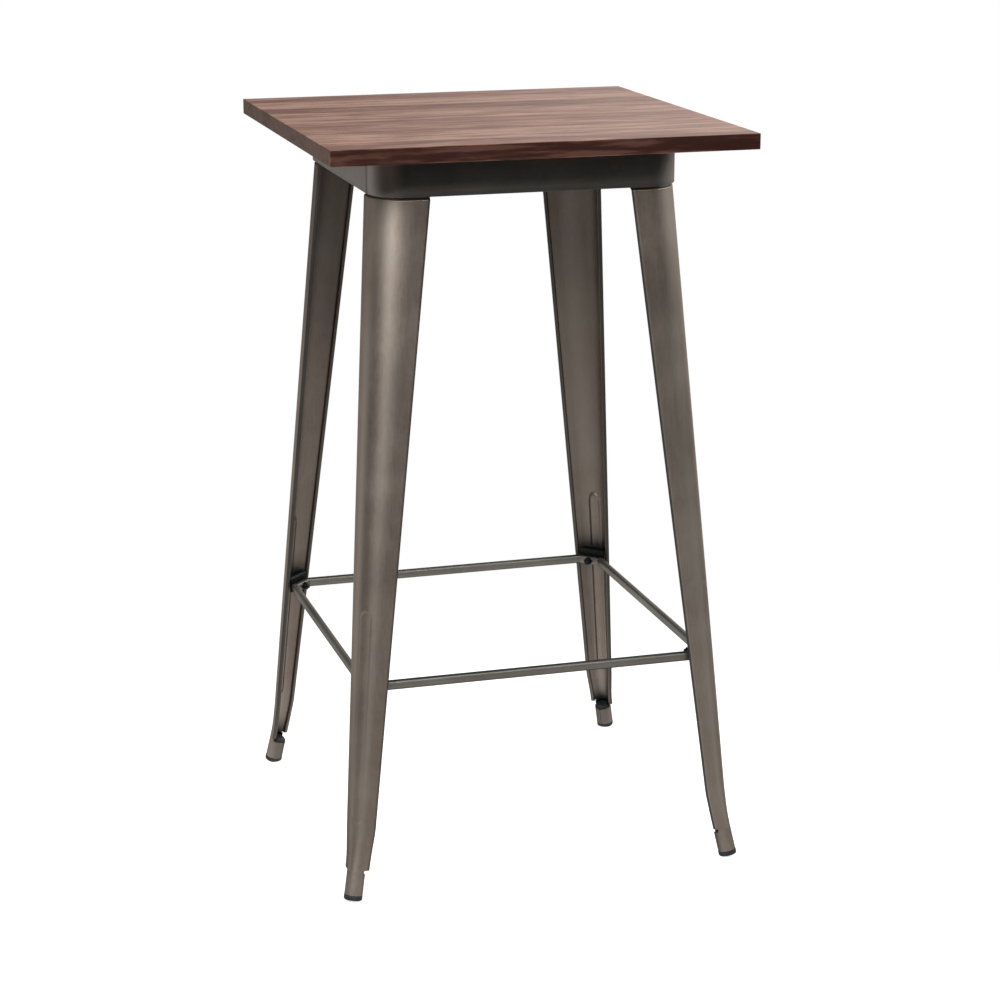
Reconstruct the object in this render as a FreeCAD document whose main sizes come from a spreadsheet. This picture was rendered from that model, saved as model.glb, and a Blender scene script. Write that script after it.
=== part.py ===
import FreeCAD, Part
import math
import os
import re

from FreeCAD import Placement, Rotation, Vector
import Sketcher

# Square bar-height pub table: a solid wood top on a pressed steel base with four splayed legs.
# Millimetres, +Z up. The origin is on the floor under the middle of the table, front towards -Y.

doc = FreeCAD.newDocument("PubTable")

# ---- driving dimensions: name, size, what it is ----

sizes = [
    ("table_height", 1064, "floor to the top face"),
    ("top_length", 600, "length of the top along its staves"),
    ("top_thickness", 22, "thickness of the wood"),
    ("edge_round", 1, "round on every edge of the top"),
    ("stave_1", 75, "width of the stave at the back"),
    ("stave_2", 70, "width"),
    ("stave_3", 60, "width"),
    ("stave_4", 120, "width"),
    ("stave_5", 120, "width"),
    ("stave_6", 100, "width"),
    ("stave_7", 55, "width of the stave at the front"),
    ("top_overhang", 78, "top beyond the apron skirt"),
    ("skirt_height", 57, "height of the skirt"),
    ("skirt_radius", 58, "outside radius of its corners"),
    ("skirt_sheet", 1.2, "its sheet"),
    ("skirt_flange", 24, "width of the flange under the wood, from the outside"),
    ("skirt_hem", 10, "height of the lower edge that is folded flat inside"),
    ("gusset_sheet", 3, "plate of the corner gussets"),
    ("gusset_drop", 18, "room between the gussets and the wood"),
    ("gusset_reach", 96, "gusset along each side of the skirt"),
    ("gusset_edge", 30, "depth of the gusset's ends"),
    ("cap_sheet", 3, "plate on the leg's top end"),
    ("cap_edge", 16, "depth of that plate's ends"),
    ("leg_clearance", 0.4, "between a leg and the skirt's hem"),
    ("leg_sheet", 1.5, "sheet of the legs"),
    ("leg_roll", 6.5, "outside of the rolled free edges"),
    ("roll_lip", 2.5, "straight end of the roll"),
    ("wing_skirt", 76, "width of a leg's wing at the skirt's lower edge"),
    ("wing_ankle", 34.6, "width at the ankle"),
    ("wing_socket", 29.5, "width where the foot socket starts"),
    ("corner_ankle", 21, "outside radius of the leg's corner at the ankle"),
    ("ankle_height", 90, "where the leg turns outwards to the foot"),
    ("ankle_set", 5, "how far the ankle's face lies inside the socket's"),
    ("notch_height", 44, "where the wings end above the foot"),
    ("foot_spread", 284, "middle of a foot from the middle of the table, along X and Y"),
    ("foot_tilt", 15, "lean of the foot socket, in degrees"),
    ("socket_radius", 13.2, "outside of the foot socket"),
    ("socket_ring", 23, "closed part of the socket"),
    ("foot_cap", 7, "rubber below the socket"),
    ("foot_lift", 1, "how far the middle of the tilted rubber face is off the floor"),
    ("plug_length", 33, "rubber plug above the cap"),
    ("plug_clearance", 0.1, "between the plug and the socket"),
    ("bead_radius", 20, "radius of the pressed bead in the leg's corner"),
    ("bead_depth", 3, "its depth"),
    ("bead_low", 123, "lower end of the bead"),
    ("bead_high", 410, "upper end"),
    ("rest_height", 312, "floor to the top of the footrest"),
    ("rest_gap", 3.8, "between the footrest bars and the legs' rolled edges"),
    ("rest_seat", 3.3, "how far the ring's corners lie inside the line of the rolled edges"),
    ("bar_width", 10, "width of the folded channel"),
    ("bar_depth", 13.5, "its height"),
    ("bar_sheet", 1.2, "its sheet"),
    ("bracket_sheet", 3, "plate of the brackets in the legs"),
    ("bracket_rise", 10, "bracket above the footrest"),
    ("bracket_clearance", 0.3, "between the bracket and the rolled edges"),
    ("shelf_gap", 4.5, "between the bracket's shelf and the bead"),
    ("shelf_width", 30, "width of that shelf"),
    ("leg_bolt", 8, "leg bolt"),
    ("leg_bolt_flats", 13, "across the flats of its head and nut"),
    ("leg_bolt_head", 5.3, "height of its head"),
    ("leg_nut", 6.5, "height of its nut"),
    ("leg_washer", 16, "washer under its head"),
    ("leg_washer_sheet", 1.6, "thickness of the washer"),
    ("leg_bolt_end", 3, "thread below the nut"),
    ("leg_bolt_near", 22, "bolt from one face of the leg"),
    ("leg_bolt_far", 48, "bolt from the other face"),
    ("rest_bolt", 6, "footrest bolt"),
    ("rest_bolt_flats", 10, "across the flats of its head and nut"),
    ("rest_bolt_head", 4, "height of its head"),
    ("rest_nut", 5, "height of its nut"),
    ("rest_washer", 12, "washer under its nut"),
    ("rest_washer_sheet", 1.2, "thickness of the washer"),
    ("rest_bolt_end", 3, "thread beyond the nut"),
    ("screw", 4.5, "wood screw"),
    ("screw_length", 18, "its length under the head"),
    ("screw_head", 9, "its pan head"),
    ("screw_head_height", 2.5, "height of the head"),
    ("screw_spacing", 130, "between the three screws of a side"),
    ("screw_inset", 14, "screw from the outside of the skirt"),
    ("hole_clearance", 0.3, "round a bolt in its hole, on the radius"),
    ("thread_clearance", 0.05, "between a thread and what it is screwed into, on the radius"),
]

# ---- places worked out from them ----

places = [
    ("top_depth", "stave_1 + stave_2 + stave_3 + stave_4 + stave_5 + stave_6 + stave_7"),
    ("wood_bottom", "table_height - top_thickness"),
    ("skirt_bottom", "wood_bottom - skirt_height"),
    ("skirt_side", "top_length - 2 * top_overhang"),
    ("skirt_half", "skirt_side / 2"),
    ("skirt_inside", "skirt_half - skirt_sheet"),
    ("skirt_inner_radius", "skirt_radius - skirt_sheet"),
    ("gusset_top", "wood_bottom - gusset_drop"),
    ("gusset_bottom", "gusset_top - gusset_sheet"),
    ("gusset_far", "skirt_inside - gusset_reach"),
    ("gusset_near", "skirt_inside - gusset_edge"),
    ("leg_top", "gusset_bottom - cap_sheet"),
    ("leg_face_skirt", "skirt_half - 2 * skirt_sheet - leg_clearance"),
    ("leg_corner_skirt", "skirt_radius - 2 * skirt_sheet - leg_clearance"),
    ("foot_lean", "tan(foot_tilt) / sqrt(2)"),
    ("socket_centre", "foot_spread - notch_height * foot_lean"),
    ("leg_face_socket", "socket_centre + socket_radius"),
    ("socket_bore", "socket_radius - leg_sheet"),
    ("leg_face_ankle", "leg_face_socket - ankle_set"),
    ("straight_length", "skirt_bottom - ankle_height"),
    ("leg_run", "(leg_top - skirt_bottom) / straight_length"),
    ("leg_face_top", "leg_face_skirt + (leg_face_skirt - leg_face_ankle) * leg_run"),
    ("leg_wing_top", "wing_skirt + (wing_skirt - wing_ankle) * leg_run"),
    ("leg_corner_top", "leg_corner_skirt + (leg_corner_skirt - corner_ankle) * leg_run"),
    ("cap_far", "leg_face_top - leg_wing_top"),
    ("cap_near", "leg_face_top - cap_edge"),
    ("bolt_near", "leg_face_top - leg_bolt_near"),
    ("bolt_far", "leg_face_top - leg_bolt_far"),
    ("leg_hole_radius", "leg_bolt / 2 + hole_clearance"),
    ("rest_share", "(skirt_bottom - rest_height) / straight_length"),
    ("leg_face_rest", "leg_face_skirt + (leg_face_ankle - leg_face_skirt) * rest_share"),
    ("leg_corner_rest", "leg_corner_skirt + (corner_ankle - leg_corner_skirt) * rest_share"),
    ("wing_slope", "(wing_skirt - wing_ankle) / straight_length"),
    ("wing_rest", "wing_skirt - (skirt_bottom - rest_height) * wing_slope"),
    ("roll_line", "(2 * leg_face_rest - wing_rest) / sqrt(2)"),
    ("rest_half", "leg_face_rest - leg_roll - rest_gap"),
    ("rest_bottom", "rest_height - bar_depth"),
    ("bar_inside", "rest_half - bar_width"),
    ("bevel_face", "roll_line - rest_seat"),
    ("bar_bevel", "2 * rest_half - bevel_face * sqrt(2)"),
    ("bar_end", "rest_half - bar_bevel"),
    ("bar_inner_end", "bar_end - bar_width * tan(22.5)"),
    ("channel_outer", "rest_half - bar_sheet"),
    ("channel_inner", "bar_inside + bar_sheet"),
    ("bevel_inside", "bevel_face - bar_width"),
    ("bevel_half", "bar_bevel / sqrt(2)"),
    ("bevel_inner_half", "bevel_half - bar_width * tan(22.5)"),
    ("bevel_channel_outer", "bevel_face - bar_sheet"),
    ("bevel_channel_inner", "bevel_inside + bar_sheet"),
    ("rest_bolt_height", "(rest_height + rest_bottom) / 2"),
    ("rest_hole_radius", "rest_bolt / 2 + hole_clearance"),
    ("bracket_back", "bevel_face + bracket_sheet"),
    ("bracket_top", "rest_height + bracket_rise"),
    ("shelf_bottom", "bracket_top - bracket_sheet"),
    ("bracket_margin", "(leg_roll * 1.5 + roll_lip) / sqrt(2) + bracket_clearance"),
    ("bracket_low", "(wing_rest - bar_depth * wing_slope) / sqrt(2) - bracket_margin"),
    ("bracket_high", "(wing_rest + bracket_rise * wing_slope) / sqrt(2) - bracket_margin"),
    ("leg_inside", "leg_face_rest * sqrt(2) - leg_corner_rest * (sqrt(2) - 1) - leg_sheet"),
    ("shelf_end", "leg_inside - bead_depth - shelf_gap"),
    ("screw_row", "skirt_half - screw_inset"),
]

sheet = doc.addObject("Spreadsheet::Sheet", "Sizes")
for row, (name, size, note) in enumerate(sizes, 1):
    sheet.set(f"A{row}", name)
    sheet.set(f"B{row}", str(size))
    sheet.set(f"C{row}", note)
    sheet.setAlias(f"B{row}", name)
for row, (name, formula) in enumerate(places, len(sizes) + 2):
    sheet.set(f"A{row}", name)
    sheet.set(f"B{row}", "=" + formula)
    sheet.setAlias(f"B{row}", name)
doc.recompute()

names = {entry[0] for entry in sizes + places}
parts = []


def number(name):
    """Value of a cell, or its negative when the name starts with a minus."""
    sign = -1.0 if name.startswith("-") else 1.0
    return sign * float(sheet.get(name.lstrip("-")))


def bind(thing, prop, formula):
    """Tie a property to a formula of the sheet's names."""
    def cell(match):
        word = match.group(0)
        return "Sizes." + word if word in names else word
    thing.setExpression(prop, re.sub(r"[a-z]\w*", cell, formula))


def keep(thing, label):
    thing.Label = label
    parts.append(thing)
    return thing


# The corner pieces are drawn at the back right corner (+X, +Y) and turned about the table's axis.
corners = {"back_right": 0, "back_left": 90, "front_left": 180, "front_right": 270}


def turned(angle):
    return Placement(Vector(0, 0, 0), Rotation(Vector(0, 0, 1), angle))


def signs(angle):
    """Signs of X and Y at the corner that an angle turns the back right one to."""
    return (1 if angle in (0, 270) else -1), (1 if angle in (0, 90) else -1)


# ---- sketches and pads ----

def newBody(name):
    return doc.addObject("PartDesign::Body", name)


def newSketch(body, name, plane, height=None):
    sketch = body.newObject("Sketcher::SketchObject", name)
    origin = next(item for item in body.Origin.OriginFeatures if item.Role == plane)
    sketch.AttachmentSupport = [(origin, "")]
    sketch.MapMode = "FlatFace"
    if height:
        bind(sketch, ".AttachmentOffset.Base.z", height)
    return sketch


def place(sketch, item, end, kind, name):
    """Hold one coordinate of a point of the sketch at a name of the sheet."""
    index = sketch.addConstraint(Sketcher.Constraint(kind, -1, 1, item, end, number(name)))
    bind(sketch, f"Constraints[{index}]", name)


def drawOutline(sketch, points):
    spots = [Vector(number(x), number(y), 0) for x, y in points]
    for start, end in zip(spots, spots[1:] + spots[:1]):
        sketch.addGeometry(Part.LineSegment(start, end))
    for index in range(len(points)):
        following = (index + 1) % len(points)
        sketch.addConstraint(Sketcher.Constraint("Coincident", index, 2, following, 1))
    for index, (x, y) in enumerate(points):
        place(sketch, index, 1, "DistanceX", x)
        place(sketch, index, 1, "DistanceY", y)


def drawCircle(sketch, x, y, radius):
    """Circle at x and y; without x it sits on the sketch's upright axis."""
    centre = Vector(number(x) if x else 0, number(y), 0)
    item = sketch.addGeometry(Part.Circle(centre, Vector(0, 0, 1), number(radius)))
    if x:
        place(sketch, item, 3, "DistanceX", x)
    else:
        sketch.addConstraint(Sketcher.Constraint("PointOnObject", item, 3, -2))
    place(sketch, item, 3, "DistanceY", y)
    index = sketch.addConstraint(Sketcher.Constraint("Radius", item, number(radius)))
    bind(sketch, f"Constraints[{index}]", radius)


def pad(body, sketch, length, symmetric=False):
    """Pad away from the sketch's plane, or half to each side of it."""
    feature = body.newObject("PartDesign::Pad", sketch.Name + "Pad")
    feature.Profile = sketch
    bind(feature, "Length", length)
    if symmetric:
        feature.SideType = "Symmetric"
    sketch.Visibility = False
    return feature


def cutThrough(body, sketch):
    """Pocket through everything, both ways; it has to take material away."""
    doc.recompute()
    before = body.Shape.Volume
    feature = body.newObject("PartDesign::Pocket", sketch.Name + "Pocket")
    feature.Profile = sketch
    feature.Type = "ThroughAll"
    feature.SideType = "Symmetric"
    doc.recompute()
    if body.Shape.Volume >= before:
        raise RuntimeError(f"{sketch.Name} cuts nothing")
    return feature


def upright(shape, where=None):
    """Names of a shape's edges that run along Z, or of the one at x, y."""
    found = []
    for index, edge in enumerate(shape.Edges, 1):
        low, high = edge.Vertexes[0].Point, edge.Vertexes[-1].Point
        if (low - high).Length < 1e-6 or math.hypot(low.x - high.x, low.y - high.y) > 1e-6:
            continue
        if where and math.hypot(low.x - where[0], low.y - where[1]) > 1e-3:
            continue
        found.append(f"Edge{index}")
    return found


def roundEdges(body, base, edges, radius):
    feature = body.newObject("PartDesign::Fillet", base.Name + "Round")
    feature.Base = (base, edges)
    bind(feature, "Radius", radius)
    return feature


def roundedBlock(name, side, height, radius, bottom):
    """Square block about the Z axis with rounded upright edges."""
    body = newBody(name)
    block = body.newObject("PartDesign::AdditiveBox", name + "Box")
    bind(block, "Length", side)
    bind(block, "Width", side)
    bind(block, "Height", height)
    bind(block, ".Placement.Base.x", f"-({side}) / 2")
    bind(block, ".Placement.Base.y", f"-({side}) / 2")
    bind(block, ".Placement.Base.z", bottom)
    doc.recompute()
    roundEdges(body, block, upright(block.Shape), radius)
    return body


# ---- round and hexagonal primitives, along an axis of their own ----

def setAt(thing, x, y, z, rotation=None):
    if rotation:
        thing.Placement = Placement(Vector(0, 0, 0), rotation)
    bind(thing, ".Placement.Base.x", x)
    bind(thing, ".Placement.Base.y", y)
    bind(thing, ".Placement.Base.z", z)
    return thing


def cylinder(name, radius, height):
    thing = doc.addObject("Part::Cylinder", name)
    bind(thing, "Radius", radius)
    bind(thing, "Height", height)
    return thing


def hexagon(name, flats, height):
    thing = doc.addObject("Part::Prism", name)
    thing.Polygon = 6
    bind(thing, "Circumradius", f"({flats}) / sqrt(3)")
    bind(thing, "Height", height)
    return thing


def fuse(name, *things):
    thing = doc.addObject("Part::MultiFuse", name)
    thing.Shapes = list(things)
    return thing


def cut(name, base, tool):
    thing = doc.addObject("Part::Cut", name)
    thing.Base = base
    thing.Tool = tool
    return thing


def common(name, *things):
    thing = doc.addObject("Part::MultiCommon", name)
    thing.Shapes = list(things)
    return thing


def group(label, things):
    thing = doc.addObject("Part::Compound", label)
    thing.Links = things
    return keep(thing, label)


# ---- wood screws: three to a side, up through the skirt's flange ----

def makeScrews():
    pilots = []
    screws = []
    for side, (row_x, row_y) in enumerate((("1", "0"), ("-1", "0"), ("0", "1"), ("0", "-1"))):
        for step in (-1, 0, 1):
            x = f"{row_x} * screw_row + {step} * {abs(int(row_y))} * screw_spacing"
            y = f"{row_y} * screw_row + {step} * {abs(int(row_x))} * screw_spacing"
            mark = f"{side}{step + 1}"
            shank = cylinder("Shank" + mark, "screw / 2", "screw_length")
            setAt(shank, x, y, "wood_bottom - skirt_sheet")
            pilot = cylinder("Pilot" + mark, "screw / 2 + thread_clearance", "screw_length")
            setAt(pilot, x, y, "wood_bottom - skirt_sheet")
            head = cylinder("Head" + mark, "screw_head / 2", "screw_head_height")
            setAt(head, x, y, "wood_bottom - skirt_sheet - screw_head_height")
            pilots.append(pilot)
            screws.append(fuse("Screw" + mark, shank, head))
    group("wood_screws", screws)
    return fuse("ScrewHoles", *pilots)


# ---- wood top: staves glued edge to edge, their grain along X ----

def makeTop(screwHoles):
    slab = newBody("TopSlab")
    blank = slab.newObject("PartDesign::AdditiveBox", "TopBlank")
    bind(blank, "Length", "top_length")
    bind(blank, "Width", "top_depth")
    bind(blank, "Height", "top_thickness")
    setAt(blank, "-top_length / 2", "-top_depth / 2", "wood_bottom")
    doc.recompute()
    edges = [f"Edge{index + 1}" for index in range(len(blank.Shape.Edges))]
    roundEdges(slab, blank, edges, "edge_round")
    front = "top_depth / 2"
    for index in range(1, 8):
        front += f" - stave_{index}"
        strip = doc.addObject("Part::Box", f"Strip{index}")
        bind(strip, "Length", "top_length")
        bind(strip, "Width", f"stave_{index}")
        bind(strip, "Height", "top_thickness")
        setAt(strip, "-top_length / 2", front, "wood_bottom")
        stave = common(f"Stave{index}", slab, strip)
        keep(cut(f"StaveBored{index}", stave, screwHoles), f"top_stave_{index}")


# ---- apron skirt: rounded band, flange under the wood, lower edge folded flat inside ----

def makeSkirt(screwHoles):
    outer = roundedBlock("SkirtOuter", "skirt_side", "skirt_height", "skirt_radius",
                         "skirt_bottom")
    hem = roundedBlock("SkirtHem", "skirt_side - 4 * skirt_sheet", "skirt_hem",
                       "skirt_radius - 2 * skirt_sheet", "skirt_bottom")
    inner = roundedBlock("SkirtInner", "skirt_side - 2 * skirt_sheet",
                         "skirt_height - skirt_hem - skirt_sheet", "skirt_inner_radius",
                         "skirt_bottom + skirt_hem")
    mouth = roundedBlock("SkirtMouth", "skirt_side - 2 * skirt_flange", "skirt_height",
                         "skirt_radius - skirt_flange", "skirt_bottom")
    hollow = fuse("SkirtHollow", hem, inner, mouth, screwHoles)
    keep(cut("Skirt", outer, hollow), "apron_skirt")


# ---- flat corner plates: the gussets in the skirt and the caps on the legs ----

def makeCornerPlate(label, angle, outside, far, near, radius, bottom, thickness):
    """Plate in a corner of the base: from outside to far along each side, its ends as deep as near."""
    body = newBody(label)
    sketch = newSketch(body, label + "Outline", "XY_Plane", bottom)
    drawOutline(sketch, [(outside, outside), (far, outside), (far, near), (near, far),
                         (outside, far)])
    block = pad(body, sketch, thickness)
    doc.recompute()
    corner = upright(block.Shape, (number(outside), number(outside)))
    roundEdges(body, block, corner, radius)
    holes = newSketch(body, label + "Holes", "XY_Plane", bottom)
    drawCircle(holes, "bolt_near", "bolt_far", "leg_hole_radius")
    drawCircle(holes, "bolt_far", "bolt_near", "leg_hole_radius")
    cutThrough(body, holes)
    body.Placement = turned(angle)
    keep(body, label)


# ---- leg: tapered sheet angle with a round corner, rolled edges, a bead and a foot socket ----

def legSection(height, face, wing, corner):
    """Closed outline of the sheet at one height, a thin angle with both free edges rolled."""
    wall = number("leg_sheet")
    roll = number("leg_roll") / 2
    lip = number("roll_lip")
    inside = face - wall
    start = face - wing + roll
    middle = face - corner
    bend = math.sqrt(0.5)

    def point(x, y, swap):
        return Vector(y, x, height) if swap else Vector(x, y, height)

    def rolledEdge(swap):
        """The free edge of one wing, from its outer face round the roll to its inner face."""
        centre = face - roll
        end = start + lip
        small = roll - wall
        return [
            Part.LineSegment(point(middle, face, swap), point(start, face, swap)),
            Part.Arc(point(start, face, swap), point(start - roll, centre, swap),
                     point(start, centre - roll, swap)),
            Part.LineSegment(point(start, centre - roll, swap), point(end, centre - roll, swap)),
            Part.LineSegment(point(end, centre - roll, swap), point(end, centre - small, swap)),
            Part.LineSegment(point(end, centre - small, swap), point(start, centre - small, swap)),
            Part.Arc(point(start, centre - small, swap), point(start - small, centre, swap),
                     point(start, inside, swap)),
            Part.LineSegment(point(start, inside, swap), point(middle, inside, swap)),
        ]

    small = corner - wall
    curves = rolledEdge(False)
    curves.append(Part.Arc(Vector(middle, inside, height),
                           Vector(middle + small * bend, middle + small * bend, height),
                           Vector(inside, middle, height)))
    curves += rolledEdge(True)
    curves.append(Part.Arc(Vector(face, middle, height),
                           Vector(middle + corner * bend, middle + corner * bend, height),
                           Vector(middle, face, height)))
    edges = Part.__sortEdges__([curve.toShape() for curve in curves])
    return Part.Wire(edges)


def legFilled(height, face, wing, corner):
    """Outline of everything inside the leg's outer faces at one height."""
    middle = face - corner
    bend = corner * math.sqrt(0.5)
    far = face - wing
    curves = [
        Part.LineSegment(Vector(far, face, height), Vector(middle, face, height)),
        Part.Arc(Vector(middle, face, height),
                 Vector(middle + bend, middle + bend, height), Vector(face, middle, height)),
        Part.LineSegment(Vector(face, middle, height), Vector(face, far, height)),
        Part.LineSegment(Vector(face, far, height), Vector(far, face, height)),
    ]
    return Part.Wire([curve.toShape() for curve in curves])


def roundEndedBar(start, end, radius):
    run = end - start
    bar = Part.makeCylinder(radius, run.Length, start, run)
    return bar.fuse([Part.makeSphere(radius, start), Part.makeSphere(radius, end)])


def slantedRound(radius, height):
    """Round bar that leans with the foot socket, from below the floor up to a height."""
    foot = number("foot_spread")
    lean = number("foot_lean")
    low = -radius
    disc = Part.Face(Part.Wire(Part.makeCircle(
        radius, Vector(foot - lean * low, foot - lean * low, low), Vector(0, 0, 1))))
    rise = height - low
    return disc.extrude(Vector(-lean * rise, -lean * rise, rise))


def makeLegShape():
    top = [number(name) for name in ("leg_top", "leg_face_top", "leg_wing_top", "leg_corner_top")]
    ankle = [number(name) for name in ("ankle_height", "leg_face_ankle", "wing_ankle",
                                       "corner_ankle")]
    notch = [number(name) for name in ("notch_height", "leg_face_socket", "wing_socket",
                                       "socket_radius")]
    walls = Part.makeLoft([legSection(*top), legSection(*ankle), legSection(*notch)], True, True)
    filled = Part.makeLoft([legFilled(*top), legFilled(*ankle)], True, True)

    foot = number("foot_spread")

    # The bead follows the middle of the rounded corner, which is straight from top to ankle.
    outwards = Vector(1, 1, 0).normalize()
    radius = number("bead_radius")

    def cornerPoint(height):
        share = (top[0] - height) / (top[0] - ankle[0])
        face = top[1] + (ankle[1] - top[1]) * share
        corner = top[3] + (ankle[3] - top[3]) * share
        across = face - corner * (1 - math.sqrt(0.5))
        return Vector(across, across, height) + outwards * (radius - number("bead_depth"))

    low = cornerPoint(number("bead_low"))
    high = cornerPoint(number("bead_high"))
    raised = roundEndedBar(low, high, radius + number("leg_sheet")).common(filled)
    groove = roundEndedBar(low, high, radius)

    # The socket leans outwards towards the foot: a closed ring below, open to the inside above.
    # Its level sections are circles, so it meets the leg's corner edge to edge at the notch.
    outer = slantedRound(number("socket_radius"), number("notch_height"))
    bore = slantedRound(number("socket_bore"), number("table_height"))
    reach = 2 * number("socket_radius")
    below = Part.makeBox(2 * reach, 2 * reach, 2 * reach, Vector(-reach, -reach, -2 * reach))
    below.translate(Vector(0, 0, number("foot_cap")))
    inside = Part.makeBox(reach, 2 * reach, 2 * reach, Vector(-reach, -reach, 0))
    inside.translate(Vector(0, 0, number("foot_cap") + number("socket_ring")))
    for block in (below, inside):
        block.Placement = Placement(Vector(foot, foot, 0), socketTurn()).multiply(block.Placement)
    socket = outer.cut([bore, below, inside])

    shape = walls.fuse([raised, socket]).removeSplitter().cut(groove)
    return shape.Solids[0] if len(shape.Solids) == 1 else shape


def socketTurn():
    """Turns Z to the socket's axis and X to the outward diagonal."""
    lean = Rotation(Vector(0, 1, 0), -number("foot_tilt"))
    return Rotation(Vector(0, 0, 1), 45).multiply(lean)


def makeLegs():
    shape = makeLegShape()
    for corner, angle in corners.items():
        leg = doc.addObject("Part::Feature", "Leg_" + corner)
        leg.Shape = shape.copy()
        leg.Placement = turned(angle)
        keep(leg, "leg_" + corner)


# ---- rubber feet: a plug in the socket and a cap that is cut flat where it meets the floor ----

def makeFeet():
    floor = doc.addObject("Part::Box", "AboveFloor")
    bind(floor, "Length", "4 * foot_spread")
    bind(floor, "Width", "4 * foot_spread")
    bind(floor, "Height", "table_height")
    setAt(floor, "-2 * foot_spread", "-2 * foot_spread", "0")
    for corner, angle in corners.items():
        turn = Rotation(Vector(0, 0, 1), angle).multiply(socketTurn())
        sign_x, sign_y = signs(angle)

        def axisPoint(distance):
            """Formulas of a point on the socket's axis, a distance up from the floor."""
            return (f"{sign_x} * (foot_spread - ({distance}) * foot_lean * cos(foot_tilt))",
                    f"{sign_y} * (foot_spread - ({distance}) * foot_lean * cos(foot_tilt))",
                    f"({distance}) * cos(foot_tilt)")

        cap = cylinder("Cap_" + corner, "socket_radius", "foot_cap - foot_lift")
        setAt(cap, *axisPoint("foot_lift"), turn)
        plug = cylinder("Plug_" + corner, "socket_bore * cos(foot_tilt) - plug_clearance",
                        "plug_length")
        setAt(plug, *axisPoint("foot_cap"), turn)
        whole = fuse("Rubber_" + corner, cap, plug)
        keep(common("Foot_" + corner, whole, floor), "rubber_foot_" + corner)


# ---- footrest: four channel bars and four slanted corner pieces, open below ----

def makeBar(label, angle):
    """A bar along the back, between the slanted corners, turned to its side."""
    body = newBody(label)
    sketch = newSketch(body, label + "Outline", "XY_Plane", "rest_bottom")
    drawOutline(sketch, [("bar_end", "rest_half"), ("-bar_end", "rest_half"),
                         ("-bar_inner_end", "bar_inside"), ("bar_inner_end", "bar_inside")])
    pad(body, sketch, "bar_depth")
    channel = newSketch(body, label + "Channel", "XY_Plane", "rest_bottom")
    drawOutline(channel, [("rest_half", "channel_outer"), ("-rest_half", "channel_outer"),
                          ("-rest_half", "channel_inner"), ("rest_half", "channel_inner")])
    cutBelow(body, channel)
    body.Placement = turned(angle)
    keep(body, label)


def cutBelow(body, channel):
    """Pocket the channel's hollow upwards from its open side."""
    doc.recompute()
    before = body.Shape.Volume
    hollow = body.newObject("PartDesign::Pocket", channel.Name + "Pocket")
    hollow.Profile = channel
    hollow.Reversed = True
    bind(hollow, "Length", "bar_depth - bar_sheet")
    doc.recompute()
    if body.Shape.Volume >= before:
        raise RuntimeError(f"{channel.Name} cuts nothing")


def makeRingCorner(label, angle):
    """A slanted corner piece, drawn square to X at the middle of the bevel."""
    body = newBody(label)
    sketch = newSketch(body, label + "Outline", "XY_Plane", "rest_bottom")
    drawOutline(sketch, [("bevel_face", "-bevel_half"), ("bevel_face", "bevel_half"),
                         ("bevel_inside", "bevel_inner_half"),
                         ("bevel_inside", "-bevel_inner_half")])
    pad(body, sketch, "bar_depth")
    channel = newSketch(body, label + "Channel", "XY_Plane", "rest_bottom")
    drawOutline(channel, [("bevel_channel_outer", "-bar_end"), ("bevel_channel_outer", "bar_end"),
                          ("bevel_channel_inner", "bar_end"),
                          ("bevel_channel_inner", "-bar_end")])
    cutBelow(body, channel)
    hole = newSketch(body, label + "Hole", "YZ_Plane")
    drawCircle(hole, None, "rest_bolt_height", "rest_hole_radius")
    cutThrough(body, hole)
    body.Placement = turned(angle + 45)
    keep(body, label)


def makeBracket(label, angle):
    """Upright plate behind the ring's corner with a shelf into the leg's corner."""
    body = newBody(label)
    plate = newSketch(body, label + "Plate", "YZ_Plane", "bevel_face")
    drawOutline(plate, [("-bracket_low", "rest_bottom"), ("bracket_low", "rest_bottom"),
                        ("bracket_high", "bracket_top"), ("-bracket_high", "bracket_top")])
    pad(body, plate, "bracket_sheet")
    shelf = newSketch(body, label + "Shelf", "XZ_Plane")
    drawOutline(shelf, [("bevel_face", "shelf_bottom"), ("shelf_end", "shelf_bottom"),
                        ("shelf_end", "bracket_top"), ("bevel_face", "bracket_top")])
    pad(body, shelf, "shelf_width", symmetric=True)
    hole = newSketch(body, label + "Hole", "YZ_Plane")
    drawCircle(hole, None, "rest_bolt_height", "rest_hole_radius")
    cutThrough(body, hole)
    body.Placement = turned(angle + 45)
    keep(body, label)


# ---- fasteners ----

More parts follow.
